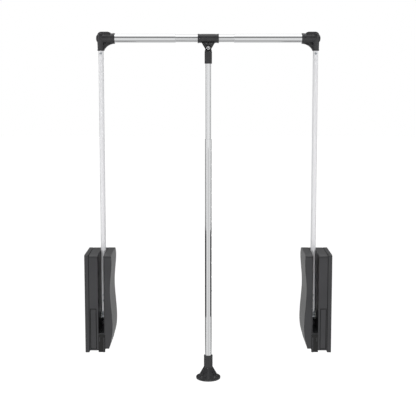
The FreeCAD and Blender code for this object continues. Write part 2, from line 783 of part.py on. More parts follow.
def corner():
    """Moulded elbow: socket for the arm with a spigot in its bore, and socket for the rail."""
    foot = Vector(arm_from_wall, 0, rail_height - corner_below)
    column = rod(foot, Z_AXIS, corner_below + corner_above - corner_column_top, column_radius)
    barrel_start = Vector(corner_outboard, 0, rail_height)
    barrel_end = arm_from_wall + corner_reach
    barrel = rod(barrel_start, X_AXIS, barrel_end - corner_outboard, barrel_radius)
    outer_rim = edges_where(barrel, lambda e: flat_in_x(e, corner_outboard))
    barrel = barrel.makeFillet(corner_barrel_round, outer_rim)
    hood = block((corner_outboard, arm_from_wall + corner_hood_reach), (-corner_hood_half, corner_hood_half),
                 (rail_height, rail_height + corner_above))
    hood = hood.makeFillet(corner_hood_round, edges_where(hood, lambda e: e.BoundBox.ZMin > rail_height))
    body = barrel.fuse(column).fuse(hood).fuse(gusset())
    arm_bore = rod(foot, Z_AXIS, corner_below - arm_top_below, arm_radius + seat_gap)
    seat = Vector(arm_from_wall + rail_seat, 0, rail_height)
    rail_hole = rod(seat, X_AXIS, barrel_end - seat.x, rail_radius + seat_gap)
    cap_bore = rod(barrel_start, X_AXIS, cap_plug, cap_plug_radius + seat_gap)
    body = body.cut(arm_bore).cut(rail_hole).cut(cap_bore)
    spigot = rod(Vector(arm_from_wall, 0, rail_height - corner_plug_below), Z_AXIS,
                 corner_plug_below - arm_top_below, arm_radius - arm_wall - seat_gap)
    rivet = rod(Vector(arm_from_wall, -arm_radius, rail_height - rivet_below), Y_AXIS, 2 * arm_radius,
                rivet_radius + seat_gap)
    return body.fuse(spigot.cut(rivet))


def corner_cap():
    """Domed cap on the outboard end of the corner."""
    sphere_radius = (cap_radius ** 2 + cap_bulge ** 2) / (2 * cap_bulge)
    tip = Vector(corner_outboard - cap_bulge, 0, rail_height)
    dome = Part.makeSphere(sphere_radius, tip + X_AXIS * sphere_radius)
    dome = dome.common(rod(tip, X_AXIS, cap_bulge, cap_radius + over))
    return dome.fuse(rod(tip + X_AXIS * cap_bulge, X_AXIS, cap_plug, cap_plug_radius))


def corner_rivet():
    """Rivet through the arm tube and the corner's spigot."""
    start = Vector(arm_from_wall, -arm_radius, rail_height - rivet_below)
    shank = rod(start, Y_AXIS, 2 * arm_radius, rivet_radius)
    front = rod(start - Y_AXIS * rivet_head, Y_AXIS, rivet_head, rivet_head_radius)
    rear = rod(start + Y_AXIS * (2 * arm_radius), Y_AXIS, rivet_head, rivet_head_radius)
    return shank.fuse(front).fuse(rear)


def rail_tube(end_from_middle):
    """Outer rail tube, with a lip at its mouth."""
    start = Vector(arm_from_wall + rail_seat, 0, rail_height)
    end = middle - end_from_middle
    tube = sleeve(start, X_AXIS, end - start.x, rail_radius, rail_bore)
    rim = edges_where(tube, lambda e: flat_in_x(e, end) and e.BoundBox.YMax > rail_radius - tiny)
    tube = tube.makeFillet(rail_end_round, rim)
    lip = sleeve(Vector(end - rail_lip, 0, rail_height), X_AXIS, rail_lip, rail_bore + rail_lip_overlap,
                 inner_rail_radius + running_gap)
    return tube.fuse(lip)


def rail_bush(end_from_middle):
    """Thin guide sleeve between the two rail tubes."""
    start = Vector(middle - end_from_middle - rail_lip - rail_bush_length, 0, rail_height)
    return sleeve(start, X_AXIS, rail_bush_length, rail_bore - seat_gap, inner_rail_radius + fit_gap)


def rail_inner_tube():
    start = middle - left_rail_end - inner_rail_engagement
    end = middle + right_rail_end + inner_rail_engagement
    return sleeve(Vector(start, 0, rail_height), X_AXIS, end - start, inner_rail_radius,
                  inner_rail_radius - inner_rail_wall)


# ---------------------------------------------------------------- handle
def level(below):
    """Point on the handle's axis below the rail axis."""
    return Vector(middle, 0, rail_height - below)


def cheek(y_from, y_to):
    """One side of the clamp's fork, from the barrel down round the knuckle."""
    knuckle = level(knuckle_below)
    top = rail_height - clamp_radius + cheek_in_barrel
    wide = Vector(middle + cheek_half_width, y_from, top)
    run = wide - Vector(knuckle.x, y_from, knuckle.z)
    lean = math.atan2(run.z, run.x) - math.acos(cheek_foot_radius / run.Length)
    touch = Vector(cheek_foot_radius * math.cos(lean), 0, cheek_foot_radius * math.sin(lean))
    right = Vector(middle + touch.x, y_from, knuckle.z + touch.z)
    left = Vector(middle - touch.x, y_from, knuckle.z + touch.z)
    lowest = Vector(middle, y_from, knuckle.z - cheek_foot_radius)
    wide_left = Vector(middle - cheek_half_width, y_from, top)
    edges = [
        Part.LineSegment(wide_left, wide).toShape(),
        Part.LineSegment(wide, right).toShape(),
        Part.Arc(right, lowest, left).toShape(),
        Part.LineSegment(left, wide_left).toShape(),
    ]
    return Part.Face(Part.Wire(edges)).extrude(Vector(0, y_to - y_from, 0))


def cheek_pockets(y_from):
    """Two three-cornered recesses in a cheek, either side of the knuckle."""
    low = rail_height - knuckle_below + cheek_foot_radius - pocket_above_foot
    high = rail_height - clamp_radius - pocket_below_barrel
    pockets = []
    for side in (-1, 1):
        corners = [
            (middle + side * pocket_inner, high, pocket_round),
            (middle + side * pocket_outer, high, pocket_round),
            (middle + side * pocket_foot, low, pocket_round),
        ]
        wire = rounded_wire(corners, lambda p: Vector(p.x, y_from, p.y))
        pockets.append(Part.Face(wire).extrude(Vector(0, cheek_pocket, 0)))
    return pockets


def handle_clamp():
    """Clamp that turns on the rail, with a fork below it."""
    start = Vector(middle - clamp_length / 2, 0, rail_height)
    body = rod(start, X_AXIS, clamp_length, clamp_radius)
    for offset in (0, clamp_length - clamp_ring):
        ring = rod(start + X_AXIS * offset, X_AXIS, clamp_ring, inner_rail_radius + clamp_ring_wall)
        body = body.fuse(ring.makeFillet(clamp_ring_round, ring.Edges))
    body = body.fuse(cheek(-cheek_outer, -cheek_inner)).fuse(cheek(cheek_inner, cheek_outer))
    for pocket in cheek_pockets(-cheek_outer) + cheek_pockets(cheek_outer - cheek_pocket):
        body = body.cut(pocket)
    body = body.cut(rod(start, X_AXIS, clamp_length, inner_rail_radius + fit_gap))
    knuckle = level(knuckle_below) - Y_AXIS * cheek_outer
    return body.cut(rod(knuckle, Y_AXIS, 2 * cheek_outer, knuckle_shank + seat_gap))


def knuckle_screw():
    """Cross-head screw through the fork and the socket's tongue."""
    start = level(knuckle_below) - Y_AXIS * cheek_outer
    face = start.y - knuckle_head
    head = rod(start - Y_AXIS * knuckle_head, Y_AXIS, knuckle_head, knuckle_head_radius)
    head = head.makeFillet(knuckle_head_round, edges_where(head, lambda e: e.BoundBox.YMax < face + tiny))
    shank = rod(start, Y_AXIS, 2 * cheek_outer + nut_height + thread_past_nut, knuckle_shank)
    screw = head.fuse(shank)
    for half_x, half_z in ((cross_length, cross_width), (cross_width, cross_length)):
        screw = screw.cut(block((middle - half_x, middle + half_x), (face - over, face + cross_depth),
                                (start.z - half_z, start.z + half_z)))
    return screw


def knuckle_nut():
    centre = level(knuckle_below) + Y_AXIS * cheek_outer
    corner_radius = nut_flats / 2 / math.cos(math.pi / 6)
    points = []
    for i in range(7):
        angle = math.pi / 3 * i
        points.append(centre + Vector(corner_radius * math.cos(angle), 0, corner_radius * math.sin(angle)))
    nut = Part.Face(Part.makePolygon(points)).extrude(Vector(0, nut_height, 0))
    return nut.cut(rod(centre, Y_AXIS, nut_height, knuckle_shank + seat_gap))


def handle_socket():
    """Socket for the handle's upper tube, with a tongue in the clamp's fork."""
    knuckle = level(knuckle_below)
    half = cheek_inner - running_gap
    top = rail_height - socket_top
    eye = rod(Vector(middle, -half, knuckle.z), Y_AXIS, 2 * half, tongue_radius)
    neck = block((middle - tongue_radius, middle + tongue_radius), (-half, half),
                 (top - socket_neck_overlap, knuckle.z))
    body = rod(level(socket_bottom), Z_AXIS, socket_bottom - socket_top, socket_radius)
    body = body.makeFillet(socket_round, edges_where(body, lambda e: e.BoundBox.ZMin > top - tiny))
    body = body.fuse(neck).fuse(eye)
    bore_length = socket_bottom - upper_tube_top
    body = body.cut(rod(level(socket_bottom), Z_AXIS, bore_length, upper_tube_radius + seat_gap))
    return body.cut(rod(Vector(middle, -half, knuckle.z), Y_AXIS, 2 * half, knuckle_shank + fit_gap))


def side_hole(below, radius, reach):
    """A hole along +X from the handle's axis."""
    return rod(level(below), X_AXIS, reach, radius)


def handle_upper_tube():
    tube = sleeve(level(upper_tube_bottom), Z_AXIS, upper_tube_bottom - upper_tube_top, upper_tube_radius,
                  upper_tube_bore)
    return tube.cut(side_hole(button_at, button_radius + button_hole_gap, upper_tube_radius + over))


def handle_lower_tube():
    """Lower tube with a row of holes for the snap button."""
    tube = sleeve(level(lower_tube_bottom), Z_AXIS, lower_tube_length, lower_tube_radius, lower_tube_bore)
    for i in range(hole_count):
        hole = side_hole(first_hole + i * hole_pitch, button_radius + hole_gap, lower_tube_radius + over)
        tube = tube.cut(hole)
    return tube


def snap_button():
    """Button through both tubes. Its flange stops it inside the upper tube."""
    inside = upper_tube_bore - button_flange_gap
    start = level(button_at) + X_AXIS * (inside - button_flange)
    flange = rod(start, X_AXIS, button_flange, button_flange_radius)
    room = rod(level(button_at + button_flange_radius), Z_AXIS, 2 * button_flange_radius, inside)
    tip = middle + lower_tube_radius + button_stand_out
    button = rod(start, X_AXIS, tip - start.x, button_radius)
    button = button.makeFillet(button_round, edges_where(button, lambda e: flat_in_x(e, tip)))
    return flange.common(room).fuse(button)


def button_spring():
    """Bent leaf inside the upper tube that holds the button out."""
    left = middle - upper_tube_bore + leaf_wall_gap
    right = middle + upper_tube_bore - button_flange_gap - button_flange
    width = (-leaf_half_width, leaf_half_width)
    z = rail_height - button_at
    top = z + leaf_length / 2
    rear = block((left, left + leaf_thickness), width, (z - leaf_length / 2, top))
    front = block((right - leaf_thickness, right), width, (z - leaf_behind_button, top))
    bend = block((left, right), width, (top - leaf_thickness, top))
    return rear.fuse(front).fuse(bend).removeSplitter()


def handle_foot():
    """Moulded end: sleeve on the lower tube, a ribbed flare and a round disc."""
    top = rail_height - foot_top
    bottom = top - foot_height
    corners = [
        (0, bottom, 0),
        (foot_disc_radius, bottom, foot_base_round),
        (foot_disc_radius, top - foot_disc, foot_rim_round),
        (foot_skirt_radius, top - foot_disc - foot_skirt_drop, foot_skirt_round),
        (foot_flare_radius, top - foot_flare, foot_flare_round),
        (foot_radius, top - foot_sleeve, foot_neck_round),
        (foot_radius, top, foot_top_round),
        (0, top, 0),
    ]
    profile = Part.Face(rounded_wire(corners, lambda p: Vector(p.x, 0, p.y)))
    foot = profile.revolve(Vector(0, 0, 0), Z_AXIS, 360)
    low = top - foot_flare
    high = top - foot_sleeve
    side = -foot_rib_width / 2
    for i in range(foot_ribs):
        wire = Part.makePolygon([
            Vector(foot_radius - foot_rib_root, side, high),
            Vector(foot_radius + foot_rib_start, side, high),
            Vector(foot_flare_radius + foot_rib_height, side, low),
            Vector(foot_flare_radius - foot_rib_root, side, low),
            Vector(foot_radius - foot_rib_root, side, high),
        ])
        rib = Part.Face(wire).extrude(Vector(0, foot_rib_width, 0))
        rib.rotate(Vector(0, 0, 0), Z_AXIS, 360 * (i + 0.5) / foot_ribs)
        foot = foot.fuse(rib)
    foot.translate(Vector(middle, 0, 0))
    return foot.cut(rod(level(lower_tube_bottom), Z_AXIS, foot_grip + over, lower_tube_radius + seat_gap))


# ---------------------------------------------------------------- assembly
def save(shape, name):
    """Move a solid from the swing axis to the screw pattern's centre and write it."""
    placed = shape.copy()
    placed.translate(Vector(0, -plate_centre_y, -plate_centre_z))
    placed.exportStep("parts/" + name + ".step")


def save_pair(shape, name, right_shape=None):
    """Write the left piece and its mirror image on the right."""
    save(shape, "left_" + name)
    mirrored = (right_shape or shape).mirror(Vector(middle, 0, 0), X_AXIS)
    save(mirrored, "right_" + name)


side_pieces = {
    "wall_plate": wall_plate(),
    "base_shell": base_shell(),
    "cover": cover(),
    "access_panel": access_panel(),
    "cover_clip": cover_clip(),
    "outer_bush": bush(False),
    "inner_bush": bush(True),
    "bumper": bumper(),
    "spring_anchor": spring_anchor(),
    "damper_body": damper_body(),
    "return_spring": return_spring(),
    "case_screws": case_screws(),
    "yoke": yoke(),
    "damper_rod": damper_rod(),
    "pivot_shaft": pivot_shaft(),
    "crank": crank(),
    "arm_hub": arm_hub(),
    "hub_screws": hub_screws(),
    "arm_tube": arm_tube(),
    "corner": corner(),
    "corner_cap": corner_cap(),
    "corner_rivet": corner_rivet(),
}
for piece_name, piece in side_pieces.items():
    save_pair(piece, piece_name)
save_pair(rail_tube(left_rail_end), "rail_tube", rail_tube(right_rail_end))
save_pair(rail_bush(left_rail_end), "rail_bush", rail_bush(right_rail_end))

centre_pieces = {
    "rail_inner_tube": rail_inner_tube(),
    "handle_clamp": handle_clamp(),
    "knuckle_screw": knuckle_screw(),
    "knuckle_nut": knuckle_nut(),
    "handle_socket": handle_socket(),
    "handle_upper_tube": handle_upper_tube(),
    "handle_lower_tube": handle_lower_tube(),
    "snap_button": snap_button(),
    "button_spring": button_spring(),
    "handle_foot": handle_foot(),
}
for piece_name, piece in centre_pieces.items():
    save(piece, piece_name)
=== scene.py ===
"""Looks of the pull down closet rod: finishes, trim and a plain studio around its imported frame."""
import math

import bmesh
import bpy
from mathutils import Matrix, Vector


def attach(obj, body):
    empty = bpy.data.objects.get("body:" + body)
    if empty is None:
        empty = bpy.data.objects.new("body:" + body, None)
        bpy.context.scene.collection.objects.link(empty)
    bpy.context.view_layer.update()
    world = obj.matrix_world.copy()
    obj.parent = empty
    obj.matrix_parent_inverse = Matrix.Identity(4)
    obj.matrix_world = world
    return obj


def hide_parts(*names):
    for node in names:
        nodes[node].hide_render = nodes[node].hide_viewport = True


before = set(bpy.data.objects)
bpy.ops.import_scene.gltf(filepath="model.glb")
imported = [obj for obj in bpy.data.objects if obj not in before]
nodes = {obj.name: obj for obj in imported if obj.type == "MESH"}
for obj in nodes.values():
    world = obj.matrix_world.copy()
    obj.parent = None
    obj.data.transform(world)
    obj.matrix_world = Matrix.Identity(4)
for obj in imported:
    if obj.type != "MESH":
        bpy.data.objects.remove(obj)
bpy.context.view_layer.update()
scene = bpy.context.scene
mm = 0.001

# Where the axes of the arms, the rail and the handle lie, in metres.
arm_y = 0.014
swing_z = -0.055
rail_z = 0.775
middle_x = 0.362
width = 0.724


# ---------------------------------------------------------------- camera

camera_back = 2.70
camera_height = 0.672
camera_aside = -0.0008
camera_pitch = math.radians(6.29)
camera_lens = 78.9
camera_shift = -0.081

camera_data = bpy.data.cameras.new("camera")
camera_data.sensor_width = 36.0
camera_data.lens = camera_lens
camera_data.shift_y = camera_shift
camera = bpy.data.objects.new("camera", camera_data)
scene.collection.objects.link(camera)
camera.location = (middle_x + camera_aside, arm_y - camera_back, camera_height)
camera.rotation_euler = (math.radians(90) - camera_pitch, 0, 0)
scene.camera = camera


# ---------------------------------------------------------------- colour and node helpers

def paint(hex_code):
    """sRGB hex to the linear colour that a socket takes."""
    channels = [int(hex_code[i:i + 2], 16) / 255 for i in (1, 3, 5)]
    return [c / 12.92 if c <= 0.04045 else ((c + 0.055) / 1.055) ** 2.4 for c in channels] + [1.0]


def add(tree, kind, settings=None, **links):
    """Adds a node to the tree. Plain settings go on the node or its sockets, and links join its sockets."""
    node = tree.nodes.new(kind)
    for key, value in (settings or {}).items():
        if isinstance(key, str) and hasattr(node, key):
            setattr(node, key, value)
        else:
            node.inputs[key].default_value = value
    for name, source in links.items():
        target = int(name[1:]) if name[0] == "i" and name[1:].isdigit() else name.replace("_", " ")
        tree.links.new(source, node.inputs[target])
    return node


def new_finish(name, base, **surface):
    """A material with a Principled surface: its uniform values sit on the shader's own sockets."""
    material = bpy.data.materials.new(name)
    material.use_nodes = True
    tree = material.node_tree
    shader = tree.nodes["Principled BSDF"]
    shader.inputs["Base Color"].default_value = paint(base)
    for key, value in surface.items():
        shader.inputs[key.replace("_", " ")].default_value = value
    material.diffuse_color = paint(base)
    return material, tree, shader


# ---------------------------------------------------------------- finishes
# A noise of scale S has blotches about 1000 / S mm across. noise_range is the part of its values in use.
noise_range = {"From Min": 0.3, "From Max": 0.7}


def moulded_abs():
    """Black ABS with a spark-eroded skin: a soft grey sheen, faint cloudiness and a fine grain.
    A real grain is about 0.1 mm wide. It is drawn 1.1 mm wide, so that it shows, over clouds of 70 mm."""
    material, tree, shader = new_finish("spark_textured_black_abs", "#2a2a2c", Roughness=0.44, IOR=1.54)
    place = add(tree, "ShaderNodeTexCoord")
    grain = add(tree, "ShaderNodeTexNoise", {"Scale": 900.0, "Detail": 2.0}, Vector=place.outputs["Object"])
    cloud = add(tree, "ShaderNodeTexNoise", {"Scale": 14.0, "Detail": 3.0}, Vector=place.outputs["Object"])
    tone = add(tree, "ShaderNodeValToRGB", Fac=cloud.outputs["Fac"])
    tone.color_ramp.elements[0].position = 0.3
    tone.color_ramp.elements[0].color = paint("#272729")
    tone.color_ramp.elements[1].position = 0.7
    tone.color_ramp.elements[1].color = paint("#2d2d2f")
    tree.links.new(tone.outputs["Color"], shader.inputs["Base Color"])
    gloss = add(tree, "ShaderNodeMapRange", {**noise_range, "To Min": 0.40, "To Max": 0.48},
                Value=grain.outputs["Fac"])
    tree.links.new(gloss.outputs["Result"], shader.inputs["Roughness"])
    bump = add(tree, "ShaderNodeBump", {"Strength": 0.25, "Distance": 0.00006}, Height=grain.outputs["Fac"])
    tree.links.new(bump.outputs["Normal"], shader.inputs["Normal"])
    return material


def moulded_nylon():
    """Black glass-filled nylon: smoother than the ABS, with broad satin highlights and faint flow marks
    about 17 mm across."""
    material, tree, shader = new_finish("satin_black_nylon", "#262628", Roughness=0.28, IOR=1.53)
    place = add(tree, "ShaderNodeTexCoord")
    flow = add(tree, "ShaderNodeTexNoise", {"Scale": 60.0, "Detail": 4.0, "Distortion": 1.5},
               Vector=place.outputs["Object"])
    tone = add(tree, "ShaderNodeValToRGB", Fac=flow.outputs["Fac"])
    tone.color_ramp.elements[0].position = 0.35
    tone.color_ramp.elements[0].color = paint("#212123")
    tone.color_ramp.elements[1].position = 0.7
    tone.color_ramp.elements[1].color = paint("#2a2a2b")
    tree.links.new(tone.outputs["Color"], shader.inputs["Base Color"])
    gloss = add(tree, "ShaderNodeMapRange", {**noise_range, "To Min": 0.23, "To Max": 0.34},
                Value=flow.outputs["Fac"])
    tree.links.new(gloss.outputs["Result"], shader.inputs["Roughness"])
    bump = add(tree, "ShaderNodeBump", {"Strength": 0.2, "Distance": 0.00015}, Height=flow.outputs["Fac"])
    tree.links.new(bump.outputs["Normal"], shader.inputs["Normal"])
    return material


def worn_nylon():
    """Black nylon on the cover's clip, scuffed lighter by fingers in spots of 3 mm."""
    material, tree, shader = new_finish("scuffed_black_nylon", "#222224", Roughness=0.4, IOR=1.53)
    place = add(tree, "ShaderNodeTexCoord")
    scuff = add(tree, "ShaderNodeTexNoise", {"Scale": 300.0, "Detail": 4.0}, Vector=place.outputs["Object"])
    tone = add(tree, "ShaderNodeValToRGB", Fac=scuff.outputs["Fac"])
    tone.color_ramp.elements[0].position = 0.35
    tone.color_ramp.elements[0].color = paint("#1c1c1e")
    tone.color_ramp.elements[1].position = 0.7
    tone.color_ramp.elements[1].color = paint("#2c2c2e")
    tree.links.new(tone.outputs["Color"], shader.inputs["Base Color"])
    return material


def bright_chrome():
    """Bright chrome on polished tube: mirror reflections with a very slight haze in patches of 25 mm that
    the polishing wheel leaves."""
    material, tree, shader = new_finish("bright_chrome_plate", "#f0f1f2", Metallic=1.0, Roughness=0.07)
    place = add(tree, "ShaderNodeTexCoord")
    haze = add(tree, "ShaderNodeTexNoise", {"Scale": 40.0, "Detail": 3.0}, Vector=place.outputs["Object"])
    gloss = add(tree, "ShaderNodeMapRange", {**noise_range, "To Min": 0.06, "To Max": 0.09},
                Value=haze.outputs["Fac"])
    tree.links.new(gloss.outputs["Result"], shader.inputs["Roughness"])
    return material


def dulled_chrome():
    """Chrome on the sliding rail, rubbed a little dull by the bushes: the same bands, softer. The rub marks
    run along the rail. Real ones are finer, and they are drawn 2.4 mm wide, so that they show."""
    material, tree, shader = new_finish("rubbed_chrome_plate", "#e6e7e8", Metallic=1.0, Roughness=0.14)
    place = add(tree, "ShaderNodeTexCoord")
    lengthwise = add(tree, "ShaderNodeMapping", {"Scale": (0.05, 1.0, 1.0)}, Vector=place.outputs["Object"])
    rub = add(tree, "ShaderNodeTexNoise", {"Scale": 420.0, "Detail": 3.0},
              Vector=lengthwise.outputs["Vector"])
    gloss = add(tree, "ShaderNodeMapRange", {**noise_range, "To Min": 0.1, "To Max": 0.2},
                Value=rub.outputs["Fac"])
    tree.links.new(gloss.outputs["Result"], shader.inputs["Roughness"])
    return material


def satin_chrome():
    """Satin chrome under a thin clear lacquer on the arms, their hubs' necks and the knuckle screw's head:
    reflections melt into soft light with grey sides. The brush lines run along the arm. Real ones are finer,
    and they are drawn 1.1 mm wide, so that they show. Towards the arm's foot, inside the slot, the metal
    turns paler and less metallic: a painted highlight that makes the arm show bright in the dark slot."""
    material, tree, shader = new_finish("lacquered_satin_chrome", "#e0e0e2", Metallic=0.5, Roughness=0.34)
    place = add(tree, "ShaderNodeTexCoord")
    drawn = add(tree, "ShaderNodeMapping", {"Scale": (1.0, 1.0, 0.04)}, Vector=place.outputs["Object"])
    lines = add(tree, "ShaderNodeTexNoise", {"Scale": 900.0, "Detail": 2.0}, Vector=drawn.outputs["Vector"])
    gloss = add(tree, "ShaderNodeMapRange", {**noise_range, "To Min": 0.31, "To Max": 0.37},
                Value=lines.outputs["Fac"])
    tree.links.new(gloss.outputs["Result"], shader.inputs["Roughness"])
    height = add(tree, "ShaderNodeSeparateXYZ", Vector=place.outputs["Object"])
    # Low on the arm, inside the slot, Metallic falls to 0 and leaves a pale diffuse grey: a painted highlight
    # that makes the arm show bright there.
    painted_highlight_below, plain_above, plain_metallic = -0.03, 0.15, 0.5
    metallic_with_slot_highlight = add(tree, "ShaderNodeMapRange",
                 {"From Min": painted_highlight_below, "From Max": plain_above, "To Min": 0.0, "To Max": plain_metallic},
                 Value=height.outputs["Z"])
    tree.links.new(metallic_with_slot_highlight.outputs["Result"], shader.inputs["Metallic"])
    return material


def zinc_plate():
    """Bright zinc on screws, pins and hubs: cool grey with a slightly mottled sheen. The blotches are 2.4 mm
    across, so that a screw's head shows a few of them."""
    material, tree, shader = new_finish("bright_zinc_plate", "#c3c8cc", Metallic=1.0, Roughness=0.3)
    place = add(tree, "ShaderNodeTexCoord")
    mottle = add(tree, "ShaderNodeTexNoise", {"Scale": 420.0, "Detail": 3.0}, Vector=place.outputs["Object"])
    tone = add(tree, "ShaderNodeValToRGB", Fac=mottle.outputs["Fac"])
    tone.color_ramp.elements[0].position = 0.35
    tone.color_ramp.elements[0].color = paint("#b4babf")
    tone.color_ramp.elements[1].position = 0.65
    tone.color_ramp.elements[1].color = paint("#ced2d5")
    tree.links.new(tone.outputs["Color"], shader.inputs["Base Color"])
    gloss = add(tree, "ShaderNodeMapRange", {**noise_range, "To Min": 0.22, "To Max": 0.38},
                Value=mottle.outputs["Fac"])
    tree.links.new(gloss.outputs["Result"], shader.inputs["Roughness"])
    return material


def black_oxide_and_painted_hole_shade():
    """Black-coated steel on the crank, yoke and damper: near black, low sheen, worn a little lighter in
    patches of 6 mm. On the pressed rims and walls of the handle's holes the same dark is painted shade."""
    material, tree, shader = new_finish("black_coated_steel", "#1c1c1e", Roughness=0.42, IOR=1.5)
    place = add(tree, "ShaderNodeTexCoord")
    wear = add(tree, "ShaderNodeTexNoise", {"Scale": 160.0, "Detail": 5.0}, Vector=place.outputs["Object"])
    tone = add(tree, "ShaderNodeValToRGB", Fac=wear.outputs["Fac"])
    tone.color_ramp.elements[0].position = 0.45
    tone.color_ramp.elements[0].color = paint("#18181a")
    tone.color_ramp.elements[1].position = 0.75
    tone.color_ramp.elements[1].color = paint("#2c2c2f")
    tree.links.new(tone.outputs["Color"], shader.inputs["Base Color"])
    bump = add(tree, "ShaderNodeBump", {"Strength": 0.15, "Distance": 0.0001}, Height=wear.outputs["Fac"])
    tree.links.new(bump.outputs["Normal"], shader.inputs["Normal"])
    return material


def drawn_wire():
    """Drawn spring wire: grey steel with fine draw marks. Real ones are finer, and they are drawn 1.4 mm
    wide, so that they show."""
    material, tree, shader = new_finish("drawn_spring_wire", "#8c8f92", Metallic=1.0, Roughness=0.34)
    place = add(tree, "ShaderNodeTexCoord")
    marks = add(tree, "ShaderNodeTexNoise", {"Scale": 700.0, "Detail": 2.0}, Vector=place.outputs["Object"])
    gloss = add(tree, "ShaderNodeMapRange", {**noise_range, "To Min": 0.26, "To Max": 0.42},
                Value=marks.outputs["Fac"])
    tree.links.new(gloss.outputs["Result"], shader.inputs["Roughness"])
    return material


def grey_acetal():
    """Natural grey acetal bushes: waxy and smooth, with a sheen that drifts over 11 mm."""
    material, tree, shader = new_finish("waxy_grey_acetal", "#a3a39e", Roughness=0.33, IOR=1.48)
    place = add(tree, "ShaderNodeTexCoord")
    wax = add(tree, "ShaderNodeTexNoise", {"Scale": 90.0, "Detail": 2.0}, Vector=place.outputs["Object"])
    gloss = add(tree, "ShaderNodeMapRange", {**noise_range, "To Min": 0.28, "To Max": 0.38},
                Value=wax.outputs["Fac"])
    tree.links.new(gloss.outputs["Result"], shader.inputs["Roughness"])
    return material


def black_rubber_and_painted_shade():
    """Black moulded rubber: matt, with a dusty grain. Real dust is finer, and it is drawn 2 mm wide, so that
    it shows. The finish is also painted shade: it darkens the gaps between the mouldings and the seat round
    the clip."""
    material, tree, shader = new_finish("matt_black_rubber", "#1b1b1b", Roughness=0.8, IOR=1.52)
    place = add(tree, "ShaderNodeTexCoord")
    dust = add(tree, "ShaderNodeTexNoise", {"Scale": 500.0, "Detail": 3.0}, Vector=place.outputs["Object"])
    bump = add(tree, "ShaderNodeBump", {"Strength": 0.3, "Distance": 0.0001}, Height=dust.outputs["Fac"])
    tree.links.new(bump.outputs["Normal"], shader.inputs["Normal"])
    return material


abs_skin = moulded_abs()
nylon = moulded_nylon()
clip_finish = worn_nylon()
chrome = bright_chrome()
chrome_dull = dulled_chrome()
satin = satin_chrome()
zinc = zinc_plate()
black_steel_and_painted_hole_shade = black_oxide_and_painted_hole_shade()
wire = drawn_wire()
acetal = grey_acetal()
rubber_and_painted_shade = black_rubber_and_painted_shade()

# The nodes that are shown as they are. The others are replaced by the pieces below.
finish_of = {
    "wall_plate": abs_skin, "outer_bush": acetal, "inner_bush": acetal, "bumper": rubber_and_painted_shade,
    "spring_anchor": zinc, "damper_body": black_steel_and_painted_hole_shade, "return_spring": wire, "case_screws": zinc,
    "pivot_shaft": zinc, "crank": black_steel_and_painted_hole_shade, "hub_screws": zinc, "rail_bush": acetal,
    "yoke": black_steel_and_painted_hole_shade, "damper_rod": chrome, "button_spring": wire,
}
for name, node in nodes.items():
    kind = name.replace("left_", "").replace("right_", "")
    if kind in finish_of:
        node.data.materials.clear()
        node.data.materials.append(finish_of[kind])


# ---------------------------------------------------------------- shapes
# Shapes are given in mm, and mm brings them to metres. The studio's places are in metres again.

arm_x = 47.1
handle_x = 362.0

# How near two lengths in mm are the same: near for the corners of an outline, hair for what lies level.
near = 0.01
hair = 0.001
merge_reach = 0.002 * mm
sharp_from = math.radians(33)

handle_axis = Matrix.Translation((middle_x, arm_y, 0))
arm_axis = Matrix.Translation((arm_x * mm, arm_y, 0))
rail_axis = Matrix.Translation((0, arm_y, rail_z)) @ Matrix.Rotation(math.radians(90), 4, "Y")
swing_axis = Matrix.Translation((0, arm_y, swing_z)) @ Matrix.Rotation(math.radians(90), 4, "Y")
upright = Matrix.Rotation(math.radians(90), 4, "X")
to_right = Matrix.Translation((width, 0, 0)) @ Matrix.Scale(-1, 4, (1, 0, 0))


def facing_front(x, y, z):
    """A place at x, y, z in mm whose Z points to the front and whose Y points up."""
    return Matrix.Translation((x * mm, y * mm, z * mm)) @ upright


def back_of(x, y, z):
    """A place at x, y, z in mm whose Z points to the back."""
    return Matrix.Translation((x * mm, y * mm, z * mm)) @ Matrix.Rotation(math.radians(-90), 4, "X")


def rim_edges(bm, test):
    """The edges whose two ends, in mm, both pass the test."""
    return [edge for edge in bm.edges if all(test(vert.co / mm) for vert in edge.verts)]


def round_edges(bm, edges, radius, steps=4):
    """Rounds the edges by a radius in mm."""
    bmesh.ops.bevel(bm, geom=edges, offset=radius * mm, offset_type="OFFSET", segments=steps, profile=0.5,
                    affect="EDGES", material=-1, clamp_overlap=True)


def verts_in(result):
    """The vertices among what an operator made."""
    return [item for item in result["geom"] if isinstance(item, bmesh.types.BMVert)]


def cut_across(bm, spot, normal):
    """Cuts the faces along a plane through a spot in mm. Both sides stay."""
    bmesh.ops.bisect_plane(bm, geom=list(bm.verts) + list(bm.edges) + list(bm.faces),
                           plane_co=[c * mm for c in spot], plane_no=normal, dist=hair * mm)


def turned(corners, place, steps=64):
    """A turned shape: (radius, height, round) corners spun about the place's Z, their rims then rounded."""
    bm = bmesh.new()
    points = [bm.verts.new((radius * mm, 0, height * mm)) for radius, height, _ in corners]
    hollow = all(radius > 0 for radius, _, _ in corners)
    lines = [bm.edges.new((points[i - 1], points[i])) for i in range(0 if hollow else 1, len(points))]
    bmesh.ops.spin(bm, geom=points + lines, cent=(0, 0, 0), axis=(0, 0, 1), angle=2 * math.pi, steps=steps,
                   use_merge=True)
    bmesh.ops.remove_doubles(bm, verts=bm.verts, dist=merge_reach)
    for radius, height, bend in corners:
        if bend:
            at_corner = lambda p: abs(p.z - height) < near and abs(p.xy.length - radius) < near
            round_edges(bm, rim_edges(bm, at_corner), bend)
    bmesh.ops.recalc_face_normals(bm, faces=bm.faces)
    bmesh.ops.transform(bm, matrix=place, verts=bm.verts)
    return bm


